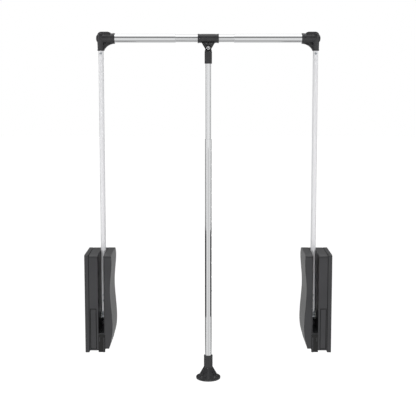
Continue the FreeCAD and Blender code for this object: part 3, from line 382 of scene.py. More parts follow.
def moulded(corners, thick, place, rim=0.0, steps=4):
    """A flat moulding: (a, b, round) corners of its outline, extruded evenly about the place, its rims
    rounded."""
    bm = bmesh.new()
    face = bm.faces.new([bm.verts.new((a * mm, b * mm, -thick / 2 * mm)) for a, b, _ in corners])
    grown = bmesh.ops.extrude_face_region(bm, geom=[face])
    bmesh.ops.translate(bm, vec=(0, 0, thick * mm), verts=verts_in(grown))
    for a, b, bend in corners:
        if bend:
            post = rim_edges(bm, lambda p: abs(p.x - a) < near and abs(p.y - b) < near)
            round_edges(bm, post, bend, steps)
    if rim:
        flat = [e for e in bm.edges if abs(e.verts[0].co.z - e.verts[1].co.z) < hair * mm]
        round_edges(bm, flat, rim, 2)
    bmesh.ops.recalc_face_normals(bm, faces=bm.faces)
    bmesh.ops.transform(bm, matrix=place, verts=bm.verts)
    return bm


def bent_rib(wide, thick, centre, radius, start, end, place, rim=0.8, steps=20):
    """A rib of even section spun along an arc about the place's Z, from start to end degrees."""
    bm = bmesh.new()
    inner, outer, half = radius, radius + thick, wide / 2
    corners = [(inner, -half), (outer, -half), (outer, half), (inner, half)]
    face = bm.faces.new([bm.verts.new((r * mm, 0, h * mm)) for r, h in corners])
    bmesh.ops.rotate(bm, cent=(0, 0, 0), matrix=Matrix.Rotation(math.radians(start), 3, "Z"), verts=bm.verts)
    bmesh.ops.spin(bm, geom=list(bm.verts) + list(bm.edges) + [face], cent=(0, 0, 0), axis=(0, 0, 1),
                   angle=math.radians(end - start), steps=steps)
    bmesh.ops.remove_doubles(bm, verts=bm.verts, dist=merge_reach)
    ends = [(edge, edge.verts[0].co / mm, edge.verts[1].co / mm) for edge in bm.edges]
    along = [edge for edge, a, b in ends if abs(a.xy.length - b.xy.length) < near
             and abs(a.z - b.z) < near and abs(abs(a.z) - half) < near]
    round_edges(bm, along, rim, 3)
    bmesh.ops.recalc_face_normals(bm, faces=bm.faces)
    bmesh.ops.translate(bm, vec=(centre[0] * mm, centre[1] * mm, 0), verts=bm.verts)
    bmesh.ops.transform(bm, matrix=place, verts=bm.verts)
    return bm


def second_finish(bm, test=lambda centre: True):
    """Gives the faces whose centre, in mm, passes the test the piece's second finish."""
    for face in bm.faces:
        if test(face.calc_center_median() / mm):
            face.material_index = 1


def joined(shapes):
    """One mesh that holds all the shapes."""
    whole = bmesh.new()
    for shape in shapes:
        part = bpy.data.meshes.new("part")
        shape.to_mesh(part)
        whole.from_mesh(part)
        bpy.data.meshes.remove(part)
    return whole


def fitted(name, bm, finish, slot, body, *stands_for):
    """Makes a piece of the mesh, smooth up to its sharp edges, in place of the nodes that it stands for."""
    mesh = bpy.data.meshes.new(name)
    for face in bm.faces:
        face.smooth = True
    bm.to_mesh(mesh)
    mesh.set_sharp_from_angle(angle=sharp_from)
    for coat in finish if isinstance(finish, list) else [finish]:
        mesh.materials.append(coat)
    piece = bpy.data.objects.new(name, mesh)
    scene.collection.objects.link(piece)
    piece.modifiers.new("even_shading", "WEIGHTED_NORMAL").keep_sharp = True
    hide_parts(*stands_for)
    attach(piece, body)


def fitted_pair(name, shapes, finish, slot, body, *stands_for):
    """The same piece on both sides: the right one is the left one mirrored about the middle."""
    left = joined(shapes)
    fitted("left_" + name, left, finish, slot, "left_" + body, *["left_" + node for node in stands_for])
    bmesh.ops.transform(left, matrix=to_right, verts=left.verts)
    bmesh.ops.reverse_faces(left, faces=left.faces)
    fitted("right_" + name, left, finish, slot, "right_" + body, *["right_" + node for node in stands_for])
    left.free()


# ---------------------------------------------------------------- arms, hubs and corners

arm_radius, arm_bore = 7.5, 6.3
arm_foot, arm_top = -18.0, 763.0
arm = turned([(arm_radius, arm_foot, 0), (arm_radius, arm_top, 0), (arm_bore, arm_top, 0),
              (arm_bore, arm_foot, 0)], arm_axis)
fitted_pair("arm", [arm], satin, "chromed_steel", "frame", "arm_tube")

hub_disc = turned([(6.02, 39.6, 0), (16.0, 39.6, 0.8), (16.0, 54.6, 0.8), (6.02, 54.6, 0)], swing_axis)
hub_neck = turned([(0, -49.0, 0), (7.45, -49.0, 0), (7.45, -18.05, 0.4), (6.25, -18.0, 0), (6.25, 20.0, 0.6),
                   (0, 20.0, 0)], arm_axis, 48)
second_finish(hub_neck)
fitted_pair("hub", [hub_disc, hub_neck], [zinc, satin], "zinc_steel", "frame", "arm_hub")


def rivet_head(place, radius=3.6, tall=1.2, bend=0.9):
    """A flat head with a well rounded rim."""
    return turned([(0, 0, 0), (radius, 0, 0), (radius, tall, bend), (0, tall, 0)], place, 40)


rivet_z, arm_front, arm_back = 731.0, 6.5, 21.5
rivet = [rivet_head(facing_front(arm_x, arm_front, rivet_z)), rivet_head(back_of(arm_x, arm_back, rivet_z)),
         turned([(0, arm_front, 0), (2.0, arm_front, 0), (2.0, arm_back, 0), (0, arm_back, 0)],
                back_of(arm_x, 0, rivet_z), 24)]
fitted_pair("corner_rivet_head", rivet, zinc, "zinc_steel", "frame", "corner_rivet")

column = turned([(0, 739.0, 0), (10.3, 739.0, 0.5), (10.3, 743.2, 0.4), (9.7, 743.5, 0), (9.9, 748.0, 0),
                 (10.0, 752.0, 0), (10.1, 756.0, 0), (10.2, 760.0, 0), (10.3, 764.0, 0), (10.4, 769.0, 0),
                 (10.4, 774.0, 0), (10.4, 779.0, 0), (10.2, 784.0, 0), (9.4, 789.0, 1.0), (5.0, 792.6, 1.5),
                 (0, 793.2, 0)], Matrix.Identity(4), 48)
flare_from, flare_over, flare_by = 746.0, 22.0, 0.46
for vert in column.verts:
    rise = min(max((vert.co.z / mm - flare_from) / flare_over, 0.0), 1.0)
    vert.co.y *= 1.0 + flare_by * rise * rise * (3 - 2 * rise)
bmesh.ops.transform(column, matrix=arm_axis, verts=column.verts)
barrel = turned([(0, 44.0, 0), (14.9, 44.0, 0), (14.9, 82.0, 0.3), (15.5, 82.4, 0.3), (15.5, 88.1, 0.7),
                 (12.75, 88.1, 0.3), (12.75, 60.0, 0), (0, 60.0, 0)], rail_axis)
outer_end = turned([(0, 36.5, 0), (11.2, 36.5, 1.2), (12.4, 41.0, 0), (0, 41.0, 0)], rail_axis)
arm_plane = facing_front(0, 14.0, 0)
hood = moulded([(40.0, 775.0, 0), (76.1, 775.0, 0), (76.1, 790.6, 2.2), (71.5, 794.4, 5.0),
                (43.5, 794.4, 5.0), (39.0, 789.0, 3.0)], 19.0, arm_plane, 1.6)
lens_pad = moulded([(56.5, 783.0, 3.0), (66.0, 780.4, 3.0), (77.0, 782.4, 2.5), (72.0, 789.6, 4.0),
                    (60.0, 790.4, 3.0)], 24.0, arm_plane, 1.4)
web = moulded([(arm_x, 741.0, 0), (55.4, 741.0, 0), (59.5, 746.5, 0), (66.6, 752.8, 0), (76.0, 757.4, 0),
               (86.6, 760.2, 0), (86.6, 775.0, 0), (arm_x, 775.0, 0)], 6.4, arm_plane)
bend_centre = (87.597, 724.801)
rib = bent_rib(12.0, 3.4, bend_centre, 34.70, 90.8, 154.0, arm_plane)
inner_rib = bent_rib(17.0, 2.2, bend_centre, 42.0, 97.0, 150.0, arm_plane, 0.7)
elbow = [column, barrel, outer_end, hood, lens_pad, web, rib, inner_rib]
fitted_pair("corner_elbow", elbow, nylon, "black_nylon", "frame", "corner")

cap = turned([(0, 33.3, 0), (4.0, 33.52, 0), (7.6, 34.35, 0), (10.5, 36.3, 0.3), (7.6, 36.4, 0),
              (7.6, 38.7, 0), (0, 38.7, 0)], rail_axis)
fitted_pair("corner_end_cap", [cap], nylon, "black_nylon", "frame", "corner_cap")


# ---------------------------------------------------------------- housings

def from_side(x):
    """A place at x in mm whose outline runs along Y and Z and whose thickness runs along X."""
    return Matrix(((0, 0, 1, x * mm), (1, 0, 0, 0), (0, 1, 0, 0), (0, 0, 0, 1)))


front_y, back_y, top_z, base_bottom, cover_bottom = -70.0, 70.0, 146.0, -140.0, -135.0
line_low, line_high, line_deep = 140.2, 141.8, 1.4


def housing_outline(bottom, inset=0.0, top_line=True):
    """The housing seen from the side: a top that swells back from a fine parting line round its front."""
    front, back, top = front_y + inset, back_y - inset, top_z - inset
    swell = [(back, top, 18.0), (front + 44.0, top, 30.0), (front + 13.0, top - 1.3, 12.0),
             (front, top - 3.6, 0.4)]
    line = [(front, line_high, 0), (front + line_deep, line_high, 0), (front + line_deep, line_low, 0),
            (front, line_low, 0)]
    return [(front, bottom + inset, 4.0), (back, bottom + inset, 4.0)] + swell + (line if top_line else [])


def in_line(p):
    """In the parting line below the top."""
    return line_low + 0.1 < p.z < line_high - 0.1 and p.y < front_y + 2.0


# The left, right, bottom and top of the access panel's opening, and how deep it goes.
opening_left, opening_right, opening_low, opening_high, opening_deep = 14.7, 33.7, -135.0, -13.0, 3.4


def in_opening(p, margin=0.0):
    """Within the sides of the opening, whatever the depth."""
    return (opening_left - margin < p.x < opening_right + margin
            and opening_low - margin < p.z < opening_high + margin)


wall_side = moulded(housing_outline(base_bottom), 25.6, from_side(25.9), 0.45)
for x in (opening_left, opening_right):
    cut_across(wall_side, (x, 0, 0), (1, 0, 0))
for z in (opening_low, opening_high):
    cut_across(wall_side, (0, 0, z), (0, 0, 1))
wall_side.normal_update()
opening = [f for f in wall_side.faces if f.normal.y < -0.99 and in_opening(f.calc_center_median() / mm)]
sunk = bmesh.ops.extrude_face_region(wall_side, geom=opening)
bmesh.ops.translate(wall_side, vec=(0, opening_deep * mm, 0), verts=verts_in(sunk))
bmesh.ops.delete(wall_side, geom=[f for f in opening if f.is_valid], context="FACES_ONLY")
# The parting line's groove and the sunk opening behind the access panel take the dark second finish: painted
# shade in these gaps.
second_finish(wall_side, lambda p: in_line(p) or (in_opening(p, 0.2) and front_y + 0.3 < p.y < front_y + 4.0))
cover_side = moulded(housing_outline(base_bottom), 1.9, from_side(56.45), 0.4)
# The parting line's groove on the cover's side takes the dark second finish too: painted shade.
second_finish(cover_side, in_line)
slot_back, slot_floor, floor_front = 33.0, -88.0, -68.7
behind_slot = moulded([(floor_front, base_bottom, 4.0), (back_y, base_bottom, 4.0), (back_y, top_z, 18.0),
                       (slot_back, top_z, 1.5), (slot_back, slot_floor, 1.0), (floor_front, slot_floor, 1.2)],
                      17.4, from_side(arm_x))
lip = moulded(housing_outline(base_bottom, 2.2, False), 2.1, from_side(12.2))
# The whole lip, at the foot of the groove between the wall plate and the base, takes the dark second finish:
# painted shade in the groove.
second_finish(lip)
base = [wall_side, cover_side, behind_slot, lip]
fitted_pair("slotted_base", base, [abs_skin, rubber_and_painted_shade], "black_abs", "unit", "base_shell")

# The cover's outer face: (height, distance from the side panel), joined by a smooth curve.
wave_knots = [(-135.0, 69.5), (-95.0, 78.9), (-53.0, 79.9), (39.0, 74.0), (117.0, 79.3), (146.0, 78.3)]


def wave_at(z):
    """How far the cover's outer face lies from the side panel at a height."""
    slopes = []
    for i in range(len(wave_knots)):
        low, high = wave_knots[max(i - 1, 0)], wave_knots[min(i + 1, len(wave_knots) - 1)]
        slopes.append((high[1] - low[1]) / (high[0] - low[0]))
    i = max(j for j in range(len(wave_knots) - 1) if j == 0 or z >= wave_knots[j][0])
    (z0, x0), (z1, x1) = wave_knots[i], wave_knots[i + 1]
    run = z1 - z0
    t = min(max((z - z0) / run, 0.0), 1.0)
    return ((2 * t ** 3 - 3 * t ** 2 + 1) * x0 + (t ** 3 - 2 * t ** 2 + t) * run * slopes[i]
            + (3 * t ** 2 - 2 * t ** 3) * x1 + (t ** 3 - t ** 2) * run * slopes[i + 1])


# Only the cover's outer face lies beyond flat_face before it is waved, and beyond wave_lowest afterwards.
shell_inner, shell_thick, flat_face, wave_lowest = 58.1, 16.0, 70.0, 69.0
wave_cuts, wave_step = 39, 7.0
shell = moulded(housing_outline(cover_bottom), shell_thick, from_side(shell_inner + shell_thick / 2), 0, 8)
for i in range(1, wave_cuts + 1):
    cut_across(shell, (0, 0, cover_bottom + i * wave_step), (0, 0, 1))
for vert in shell.verts:
    if vert.co.x > flat_face * mm:
        vert.co.x = wave_at(vert.co.z / mm) * mm
bmesh.ops.recalc_face_normals(shell, faces=shell.faces)
outer_rim = [e for e in shell.edges if len(e.link_faces) == 2
             and all(v.co.x > wave_lowest * mm for v in e.verts)
             and sorted(f.normal.x > 0.7 for f in e.link_faces) == [False, True]]
round_edges(shell, outer_rim, 2.2, 4)
inner_rim = [e for e in shell.edges if all(v.co.x < (shell_inner + 0.1) * mm for v in e.verts)]
round_edges(shell, inner_rim, 0.45, 2)
# The parting line's groove on the waved cover takes the dark second finish: painted shade.
second_finish(shell, in_line)
fitted_pair("waved_cover", [shell], [abs_skin, rubber_and_painted_shade], "black_abs", "unit", "cover")

panel_y, grip_edge, grip_deep = -68.0, 20.5, 0.5
panel = moulded([(16.4, -133.8, 1.2), (31.8, -133.8, 1.2), (31.8, -15.4, 1.2), (16.4, -15.4, 1.2)], 2.4,
                facing_front(0, panel_y, 0), 0.4)
# The panel's edges and back take the dark second finish: painted shade in the seam round the panel.
second_finish(panel, lambda p: p.y > panel_y - 1.0)
for vert in panel.verts:
    if vert.co.x < grip_edge * mm and vert.co.y < (panel_y - 0.5) * mm:
        vert.co.y += grip_deep * mm
fitted_pair("front_access_panel", [panel], [abs_skin, rubber_and_painted_shade], "black_abs", "unit", "access_panel")

clip_at = facing_front(0, front_y, 0)
clip_bar = moulded([(40.7, -100.0, 0.8), (56.3, -100.0, 0.8), (56.3, -92.0, 0.8), (40.7, -92.0, 0.8)],
                   2.8, clip_at, 0.35)
clip_stem = moulded([(52.7, -144.5, 0.6), (56.3, -144.5, 0.6), (56.3, -92.4, 0.6), (52.7, -92.4, 0.6)],
                    2.7, clip_at, 0.35)
clip_hook = moulded([(40.7, -112.0, 0.8), (43.7, -112.0, 0.8), (43.7, -92.4, 0.6), (40.7, -92.4, 0.6)],
                    2.7, clip_at, 0.35)
clip_seat = moulded([(38.4, -144.0, 1.2), (58.4, -144.0, 1.2), (58.4, -91.0, 1.8), (38.4, -91.0, 1.8)],
                    0.5, clip_at)
second_finish(clip_bar)
# The seat behind the clip, wider than the clip, takes the dark second finish: a painted shadow line round the
# clip.
second_finish(clip_seat)
clip = [clip_bar, clip_stem, clip_hook, clip_seat]
fitted_pair("cover_spring_clip", clip, [clip_finish, rubber_and_painted_shade], "black_nylon", "unit", "cover_clip")


# ---------------------------------------------------------------- rail

def outer_rail(plain, mouth):
    """An outer rail tube from its plain end to the mouth, which is rolled in to the sliding tube."""
    radius, bore, mouth_bore = 12.7, 11.5, 11.35
    step = 1 if mouth > plain else -1
    return turned([(radius, plain, 0), (radius, mouth, 0.8), (mouth_bore, mouth, 0.25),
                   (mouth_bore, mouth - 1.5 * step, 0), (bore, mouth - 1.6 * step, 0), (bore, plain, 0)],
                  rail_axis, 96)


left_outer = outer_rail(59.1, 266.0)
right_outer = outer_rail(664.9, 438.0)
fitted("left_rail", left_outer, chrome, "chromed_steel", "left_frame", "left_rail_tube")
fitted("right_rail", right_outer, chrome, "chromed_steel", "right_frame", "right_rail_tube")
sliding = turned([(11.0, 166.0, 0.3), (11.0, 538.0, 0.3), (9.8, 538.0, 0), (9.8, 166.0, 0)], rail_axis, 96)
fitted("sliding_rail", sliding, chrome_dull, "chromed_steel", "rail_centre", "rail_inner_tube")


# ---------------------------------------------------------------- handle

knuckle_z = 747.4
fork_front, fork_back = 3.5, 24.5


def fork_side(y):
    """One cheek of the clamp's fork: a plate with raised ribs that frame its two pockets."""
    inwards = 1 if y == fork_front else -1
    plate_half, rib_half, eye_radius = 2.0, 0.75, 9.0
    plate_y = y + plate_half * inwards
    rib_y = y + rib_half * inwards
    plate = moulded([(-21.0, 765.0, 0), (-7.73, 742.78, 0), (7.73, 742.78, 0), (21.0, 765.0, 0)],
                    2 * plate_half, facing_front(handle_x, plate_y, 0))
    eye = turned([(0, -plate_half, 0), (eye_radius, -plate_half, 0), (eye_radius, plate_half, 0),
                  (0, plate_half, 0)], facing_front(handle_x, plate_y, knuckle_z), 48)
    outwards = facing_front if y == fork_front else back_of
    boss = turned([(0, -rib_half, 0), (eye_radius, -rib_half, 0), (eye_radius, rib_half, 0.5),
                   (0, rib_half, 0)], outwards(handle_x, rib_y, knuckle_z), 48)
    ribs = []
    for corners in (
        [(-21.0, 765.0, 0), (-7.73, 742.78, 0), (-5.2, 744.3, 0), (-17.6, 765.0, 0)],
        [(21.0, 765.0, 0), (7.73, 742.78, 0), (5.2, 744.3, 0), (17.6, 765.0, 0)],
        [(-1.8, 765.0, 0), (-1.8, 750.0, 0), (1.8, 750.0, 0), (1.8, 765.0, 0)],
        [(-19.4, 765.4, 0), (-18.0, 761.6, 0), (18.0, 761.6, 0), (19.4, 765.4, 0)],
        [(-14.6, 761.8, 0), (-3.6, 751.5, 0), (-2.2, 753.1, 0), (-12.2, 762.4, 0)],
        [(14.6, 761.8, 0), (3.6, 751.5, 0), (2.2, 753.1, 0), (12.2, 762.4, 0)],
    ):
        ribs.append(moulded(corners, 2 * rib_half, facing_front(handle_x, rib_y, 0), 0.3))
    return [plate, eye, boss] + ribs


clamp_body = turned([(11.05, 331.0, 0), (13.6, 331.0, 0.6), (13.6, 335.0, 0.5), (13.0, 335.2, 0),
                     (13.0, 388.8, 0), (13.6, 389.0, 0.5), (13.6, 393.0, 0.6), (11.05, 393.0, 0)],
                    rail_axis, 96)
seam_band = turned([(12.5, 340.5, 0), (13.3, 340.5, 0.3), (13.3, 383.5, 0.3), (12.5, 383.5, 0)],
                   rail_axis, 96)
clamp = joined([clamp_body, seam_band] + fork_side(fork_front) + fork_side(fork_back))
fitted("handle_clamp_body", clamp, nylon, "black_nylon", "handle_head", "handle_clamp")


def cross_head():
    """A domed screw head whose cross recess is cut into its face."""
    radius, tall, deep, reach, half = 5.3, 3.0, 1.3, 3.2, 0.6
    bm = turned([(radius, 0, 0), (radius, tall, 1.1), (4.2, tall, 0)], Matrix.Identity(4), 48)
    doomed = [f for f in bm.faces if all(abs(v.co.z) < hair * mm for v in f.verts)]
    bmesh.ops.delete(bm, geom=doomed, context="FACES")
    inner = [e for e in bm.edges if e.is_boundary and all(v.co.z > (tall - 0.1) * mm for v in e.verts)]
    arms = [(reach, half), (half, half), (half, reach), (-half, reach), (-half, half), (-reach, half),
            (-reach, -half), (-half, -half), (-half, -reach), (half, -reach), (half, -half), (reach, -half)]
    tips = [bm.verts.new((a * mm, b * mm, tall * mm)) for a, b in arms]
    cross = [bm.edges.new((tips[i - 1], tips[i])) for i in range(12)]
    bmesh.ops.triangle_fill(bm, use_beauty=True, edges=inner + cross)
    grown = bmesh.ops.extrude_edge_only(bm, edges=cross)
    bmesh.ops.translate(bm, vec=(0, 0, -deep * mm), verts=verts_in(grown))
    bmesh.ops.contextual_create(bm, geom=[e for e in grown["geom"] if isinstance(e, bmesh.types.BMEdge)
                                          and all(abs(v.co.z / mm - (tall - deep)) < near for v in e.verts)])
    bmesh.ops.recalc_face_normals(bm, faces=bm.faces)
    return bm


head = cross_head()
bmesh.ops.transform(head, matrix=facing_front(handle_x, fork_front, knuckle_z), verts=head.verts)
second_finish(head)
shank = turned([(0, fork_front, 0), (3.0, fork_front, 0), (3.0, 29.5, 0.5), (0, 29.5, 0)],
               back_of(handle_x, 0, knuckle_z), 32)
screw = joined([shank, head])
fitted("knuckle_cross_screw", screw, [zinc, satin], "zinc_steel", "handle_head", "knuckle_screw")

nut_radius = 5.77
turns = [math.radians(60 * i) for i in range(6)]
flats = [(nut_radius * math.cos(turn), nut_radius * math.sin(turn), 0) for turn in turns]
nut = moulded(flats, 4.0, facing_front(handle_x, fork_back + 2.0, knuckle_z), 0.5)
fitted("knuckle_hex_nut", nut, zinc, "zinc_steel", "handle_head", "knuckle_nut")

tongue = moulded([(-10.6, 735.4, 0), (10.6, 735.4, 0), (10.2, 740.6, 1.5), (8.4, 745.0, 2.0),
                  (8.4, 755.8, 8.3), (-8.4, 755.8, 8.3), (-8.4, 745.0, 2.0), (-10.2, 740.6, 1.5)],
                 9.4, facing_front(handle_x, 14.0, 0), 0.4, 8)
socket = turned([(8.35, 701.5, 0.3), (10.85, 701.5, 0.8), (10.85, 737.4, 1.5), (0, 737.4, 0), (0, 729.5, 0),
                 (8.35, 729.5, 0)], handle_axis)
fitted("handle_tube_socket", joined([tongue, socket]), nylon, "black_nylon", "handle_upper", "handle_socket")

upper = turned([(8.3, 0, 0.2), (8.3, 729.5, 0), (7.1, 729.5, 0), (7.1, 0, 0)], handle_axis, 72)
fitted("handle_sliding_tube", upper, chrome, "chromed_steel", "handle_upper", "handle_upper_tube")


def holed_tube(radius, wall, low, high, hole_heights, hole_radius, place):
    """A tube with round holes on its +X side. Each is a patch of the wall opened and bridged to the hole's
    rim, which the punch has pressed in a little."""
    half, patch_reach, rim_radius, sunk, rim_bend = 6.0, 5.2, 4.5, 0.22, 0.4
    steps = (-half, -half / 2, 0, half / 2, half)
    levels = [low] + sorted(h + step for h in hole_heights for step in steps) + [high]
    bm = bmesh.new()
    points = [bm.verts.new((radius * mm, 0, h * mm)) for h in levels]
    lines = [bm.edges.new(pair) for pair in zip(points, points[1:])]
    bmesh.ops.spin(bm, geom=points + lines, cent=(0, 0, 0), axis=(0, 0, 1), angle=2 * math.pi, steps=64,
                   use_merge=True)
    bmesh.ops.remove_doubles(bm, verts=bm.verts, dist=merge_reach)
    for h in hole_heights:
        patch = [f for f in bm.faces if abs(f.calc_center_median().z - h * mm) < half * mm
                 and f.calc_center_median().x > 0 and abs(f.calc_center_median().y) < patch_reach * mm]
        bmesh.ops.delete(bm, geom=patch, context="FACES")
        outside = [e for e in bm.edges if e.is_boundary
                   and all(abs(v.co.z - h * mm) < (half + 0.1) * mm for v in e.verts)]
        points_round = len(outside)
        for ring_radius, depth in ((rim_radius, 0.0), (hole_radius, sunk)):
            made = bmesh.ops.create_circle(bm, segments=points_round, radius=ring_radius * mm, cap_ends=False)
            ring = made["verts"]
            bmesh.ops.rotate(bm, cent=(0, 0, 0), matrix=Matrix.Rotation(math.radians(90), 3, "Y"), verts=ring)
            bmesh.ops.translate(bm, vec=(0, 0, h * mm), verts=ring)
            for vert in ring:
                vert.co.x = math.sqrt((radius * mm) ** 2 - vert.co.y ** 2) - depth * mm
            rim = list({e for vert in ring for e in vert.link_edges})
            walls = bmesh.ops.bridge_loops(bm, edges=outside + rim)["faces"]
            outside = rim
        # The pressed rim round each hole takes the dark second finish: painted shade that makes each hole
        # read as a dark notch.
        for face in walls:
            face.material_index = 1
    bmesh.ops.recalc_face_normals(bm, faces=bm.faces)
    bmesh.ops.solidify(bm, geom=list(bm.faces), thickness=wall * mm)
    for h in hole_heights:
        at_rim = lambda p: (abs(math.hypot(p.y, p.z - h) - hole_radius) < 0.05 and p.x > 0
                            and p.xy.length > radius - rim_bend)
        round_edges(bm, rim_edges(bm, at_rim), rim_bend, 2)
    bmesh.ops.transform(bm, matrix=place, verts=bm.verts)
    return bm


top_hole, hole_pitch, hole_count = 445.5, 42.5, 11
heights = [top_hole - hole_pitch * i for i in range(hole_count)]
lower = holed_tube(radius=10.0, wall=1.38, low=-209.0, high=479.0, hole_heights=heights, hole_radius=3.1,
                   place=handle_axis)
fitted("handle_holed_tube", lower, [chrome, black_steel_and_painted_hole_shade], "chromed_steel", "handle_lower",
       "handle_lower_tube")

button_z = heights[-1]
button_place = Matrix.Translation((0, arm_y, button_z * mm)) @ Matrix.Rotation(math.radians(90), 4, "Y")
button = turned([(0, 367.6, 0), (3.8, 367.6, 0), (3.8, 368.8, 0), (2.7, 368.8, 0), (2.7, 373.0, 0.9),
                 (0, 373.0, 0)], button_place, 40)
fitted("handle_snap_button", button, zinc, "zinc_steel", "button", "snap_button")

foot = turned([(0, -251.0, 0), (37.2, -251.0, 1.5), (37.2, -245.0, 1.2), (28.5, -246.2, 1.2),
               (26.0, -239.0, 1.6), (13.3, -215.0, 3.0), (13.3, -180.6, 0), (13.3, -179.0, 0.8),
               (10.02, -179.0, 0.3), (10.02, -209.0, 0), (0, -209.0, 0)], handle_axis, 96)
foot_ribs = []
rib_count = 12
for i in range(rib_count):
    around = handle_axis @ Matrix.Rotation(2 * math.pi / rib_count * (i + 0.5), 4, "Z") @ upright
    foot_ribs.append(moulded([(11.3, -215.0, 0), (13.5, -215.0, 0), (27.4, -239.0, 0), (24.0, -239.0, 0)],
                             2.4, around, 0.5))
fitted("handle_bell_foot", joined([foot] + foot_ribs), nylon, "black_nylon", "handle_lower", "handle_foot")


# ---------------------------------------------------------------- studio

floor_z, floor_half = -1.60, 30.0
bm = bmesh.new()
bmesh.ops.create_grid(bm, x_segments=1, y_segments=1, size=floor_half)
bmesh.ops.translate(bm, vec=Vector((middle_x, 0, floor_z)), verts=bm.verts)
floor_mesh = bpy.data.meshes.new("studio_floor")
bm.to_mesh(floor_mesh)
bm.free()
floor = bpy.data.objects.new("studio_floor", floor_mesh)
scene.collection.objects.link(floor)

floor_paint = bpy.data.materials.new("pale_studio_floor")
floor_paint.use_nodes = True
tree = floor_paint.node_tree
tree.nodes.clear()
matt = add(tree, "ShaderNodeBsdfDiffuse", {"Color": paint("#e6e6e6")})
glow = add(tree, "ShaderNodeEmission", {"Color": paint("#ffffff"), "Strength": 0.55})
lit = add(tree, "ShaderNodeAddShader", i0=matt.outputs[0], i1=glow.outputs[0])
beyond = add(tree, "ShaderNodeBsdfTransparent")
path = add(tree, "ShaderNodeLightPath")
mix_glossy = add(tree, "ShaderNodeMixShader", i0=path.outputs["Is Glossy Ray"], i1=matt.outputs[0],
                 i2=beyond.outputs[0])
mix_camera = add(tree, "ShaderNodeMixShader", i0=path.outputs["Is Camera Ray"], i1=mix_glossy.outputs[0],
                 i2=lit.outputs[0])
add(tree, "ShaderNodeOutputMaterial", Surface=mix_camera.outputs[0])
floor.data.materials.append(floor_paint)

world = bpy.data.worlds.new("white_studio")
scene.world = world
world.use_nodes = True
tree = world.node_tree
tree.nodes.clear()
place = add(tree, "ShaderNodeTexCoord")
axes = add(tree, "ShaderNodeSeparateXYZ", Vector=place.outputs["Object"])


def band(value, low, full_low, full_high, high):
    """1 between the two full values, easing to 0 at low and high."""
    rise = add(tree, "ShaderNodeMapRange", {"interpolation_type": "SMOOTHSTEP", "From Min": low,
                                            "From Max": full_low}, Value=value)
    fall = add(tree, "ShaderNodeMapRange", {"interpolation_type": "SMOOTHSTEP", "From Min": full_high,
                                            "From Max": high, "To Min": 1.0, "To Max": 0.0}, Value=value)
    both = add(tree, "ShaderNodeMath", {"operation": "MULTIPLY"}, i0=rise.outputs[0], i1=fall.outputs[0])
    return both.outputs[0]


# What the chrome mirrors: a white studio with greyer parts. Each part has its limits on the mirrored ray's Y
# and Z (low, full from, full to, high) and how much of the white it takes away. The one with a negative
# amount is the bright ceiling.
mirrored_white = 1.12
grey_parts = [
    ({"Y": (-3.0, -2.0, -0.14, -0.04), "Z": (0.03, 0.10, 0.70, 0.80)}, 0.70),
    ({"Y": (-3.0, -2.0, -0.08, 0.02), "Z": (-0.96, -0.90, -0.62, -0.44)}, 0.24),
    ({"Z": (-3.0, -1.1, -0.98, -0.60)}, 0.42),
    ({"Y": (-0.42, -0.32, 0.36, 0.46), "Z": (-0.50, -0.42, 0.06, 0.16)}, 0.70),
    ({"Y": (-0.42, -0.32, 0.36, 0.46), "Z": (-0.50, -0.42, -0.12, -0.05)}, 0.70),
    ({"Y": (0.20, 0.36, 0.86, 0.94), "Z": (-0.30, -0.20, 0.00, 0.06)}, 0.36),
    ({"Y": (0.20, 0.36, 2.0, 3.0), "Z": (0.00, 0.03, 0.34, 0.44)}, 0.88),
    ({"Y": (-0.25, 0.15, 0.86, 0.94), "Z": (-0.31, -0.28, -0.17, -0.14)}, 0.95),
    ({"Y": (-0.25, 0.15, 0.86, 0.94), "Z": (-0.46, -0.42, -0.31, -0.28)}, 0.15),
    ({"Y": (-0.05, 0.25, 0.86, 0.94), "Z": (-0.17, -0.14, -0.09, -0.07)}, 0.50),
    ({"Y": (-0.40, 0.10, 0.86, 0.94), "Z": (-0.09, -0.07, 0.00, 0.02)}, 0.35),
    ({"Z": (0.90, 0.97, 2.0, 3.0)}, -1.0),
    ({"Y": (-0.97, -0.92, -0.42, -0.32), "Z": (-0.40, -0.32, 0.06, 0.14)}, 0.12),
]
level = add(tree, "ShaderNodeMath", {"operation": "ADD", 0: mirrored_white, 1: 0.0}).outputs[0]
for limits, depth in grey_parts:
    mask = None
    for axis, steps in limits.items():
        edge = band(axes.outputs[axis], *steps)
        if mask is not None:
            edge = add(tree, "ShaderNodeMath", {"operation": "MULTIPLY"}, i0=mask, i1=edge).outputs[0]
        mask = edge
    left_over = add(tree, "ShaderNodeMath", {"operation": "MULTIPLY_ADD", 1: -depth, 2: 1.0}, i0=mask)
    dimmed = add(tree, "ShaderNodeMath", {"operation": "MULTIPLY"}, i0=level, i1=left_over.outputs[0])
    level = dimmed.outputs[0]
reflected = add(tree, "ShaderNodeBackground", Strength=level)
soft_fill = 0.62
fill = add(tree, "ShaderNodeBackground", {"Color": paint("#ffffff"), "Strength": soft_fill})
seen = add(tree, "ShaderNodeBackground", {"Color": paint("#ffffff"), "Strength": 1.0})
path = add(tree, "ShaderNodeLightPath")
mix_glossy = add(tree, "ShaderNodeMixShader", i0=path.outputs["Is Glossy Ray"], i1=fill.outputs[0],
                 i2=reflected.outputs[0])
mix_camera = add(tree, "ShaderNodeMixShader", i0=path.outputs["Is Camera Ray"], i1=mix_glossy.outputs[0],
                 i2=seen.outputs[0])
add(tree, "ShaderNodeOutputWorld", Surface=mix_camera.outputs[0])


def softbox(name, spot, aim, size, watts, mirrored=True):
    """A rectangular studio light. One that isn't mirrored leaves no image of itself in the metal."""
    data = bpy.data.lights.new(name, "AREA")
    data.shape = "RECTANGLE"
    data.size, data.size_y = size
    data.energy = watts
    lamp = bpy.data.objects.new(name, data)
    scene.collection.objects.link(lamp)
    lamp.location = spot
    lamp.rotation_euler = (Vector(aim) - Vector(spot)).to_track_quat("-Z", "Y").to_euler()
    lamp.visible_glossy = mirrored


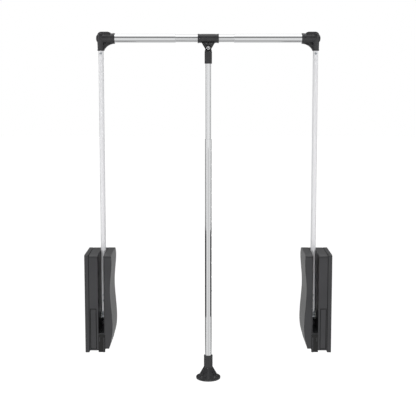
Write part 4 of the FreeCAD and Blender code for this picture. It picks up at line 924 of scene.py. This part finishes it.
softbox("key_light", (-0.5, -2.8, 1.3), (middle_x, 0, 0.2), (1.6, 1.2), 10.0, mirrored=False)
softbox("front_light", (middle_x, -2.7, 0.42), (middle_x, 0, 0.2), (0.5, 0.5), 50.0, mirrored=False)
softbox("overhead_light", (middle_x, -0.05, 2.4), (middle_x, 0, 0.7), (1.7, 0.5), 9.0, mirrored=False)
softbox("left_strip", (-0.55, -0.05, 0.21), (0.05, 0.0, 0.19), (0.3, 1.78), 1.78)
softbox("right_strip", (width + 0.55, -0.05, 0.21), (width - 0.05, 0.0, 0.19), (0.3, 1.78), 1.78)


def mirror_card(name, low, high, grey):
    """An upright card of an even grey between two opposite corners. Only the metal sees it."""
    (x0, y0, z0), (x1, y1, z1) = low, high
    corners = ((x0, y0, z0), (x1, y1, z0), (x1, y1, z1), (x0, y0, z1))
    bm = bmesh.new()
    bm.faces.new([bm.verts.new(corner) for corner in corners])
    mesh = bpy.data.meshes.new(name)
    bm.to_mesh(mesh)
    bm.free()
    card = bpy.data.objects.new(name, mesh)
    scene.collection.objects.link(card)
    paper = bpy.data.materials.new(name + "_paper")
    paper.use_nodes = True
    paper.node_tree.nodes.clear()
    shade = add(paper.node_tree, "ShaderNodeEmission", {"Color": paint("#ffffff"), "Strength": grey})
    add(paper.node_tree, "ShaderNodeOutputMaterial", Surface=shade.outputs[0])
    mesh.materials.append(paper)
    card.visible_camera = card.visible_diffuse = card.visible_shadow = card.visible_transmission = False


mirror_card("card_before_handle", (0.278, -0.3, -0.32), (0.446, -0.3, 0.43), 0.60)
mirror_card("card_behind_handle_left", (0.30, 0.1, -0.24), (0.342, 0.1, 0.20), 0.08)
mirror_card("card_behind_handle_right", (0.382, 0.1, -0.24), (0.424, 0.1, 0.20), 0.08)
mirror_card("card_between_arms_front", (middle_x, -0.36, -0.35), (middle_x, -0.06, 0.74), 0.50)
mirror_card("card_between_arms_back", (middle_x, 0.09, -0.35), (middle_x, 0.60, 0.74), 0.50)


# ---------------------------------------------------------------- view transform

scene.view_settings.view_transform = "Standard"
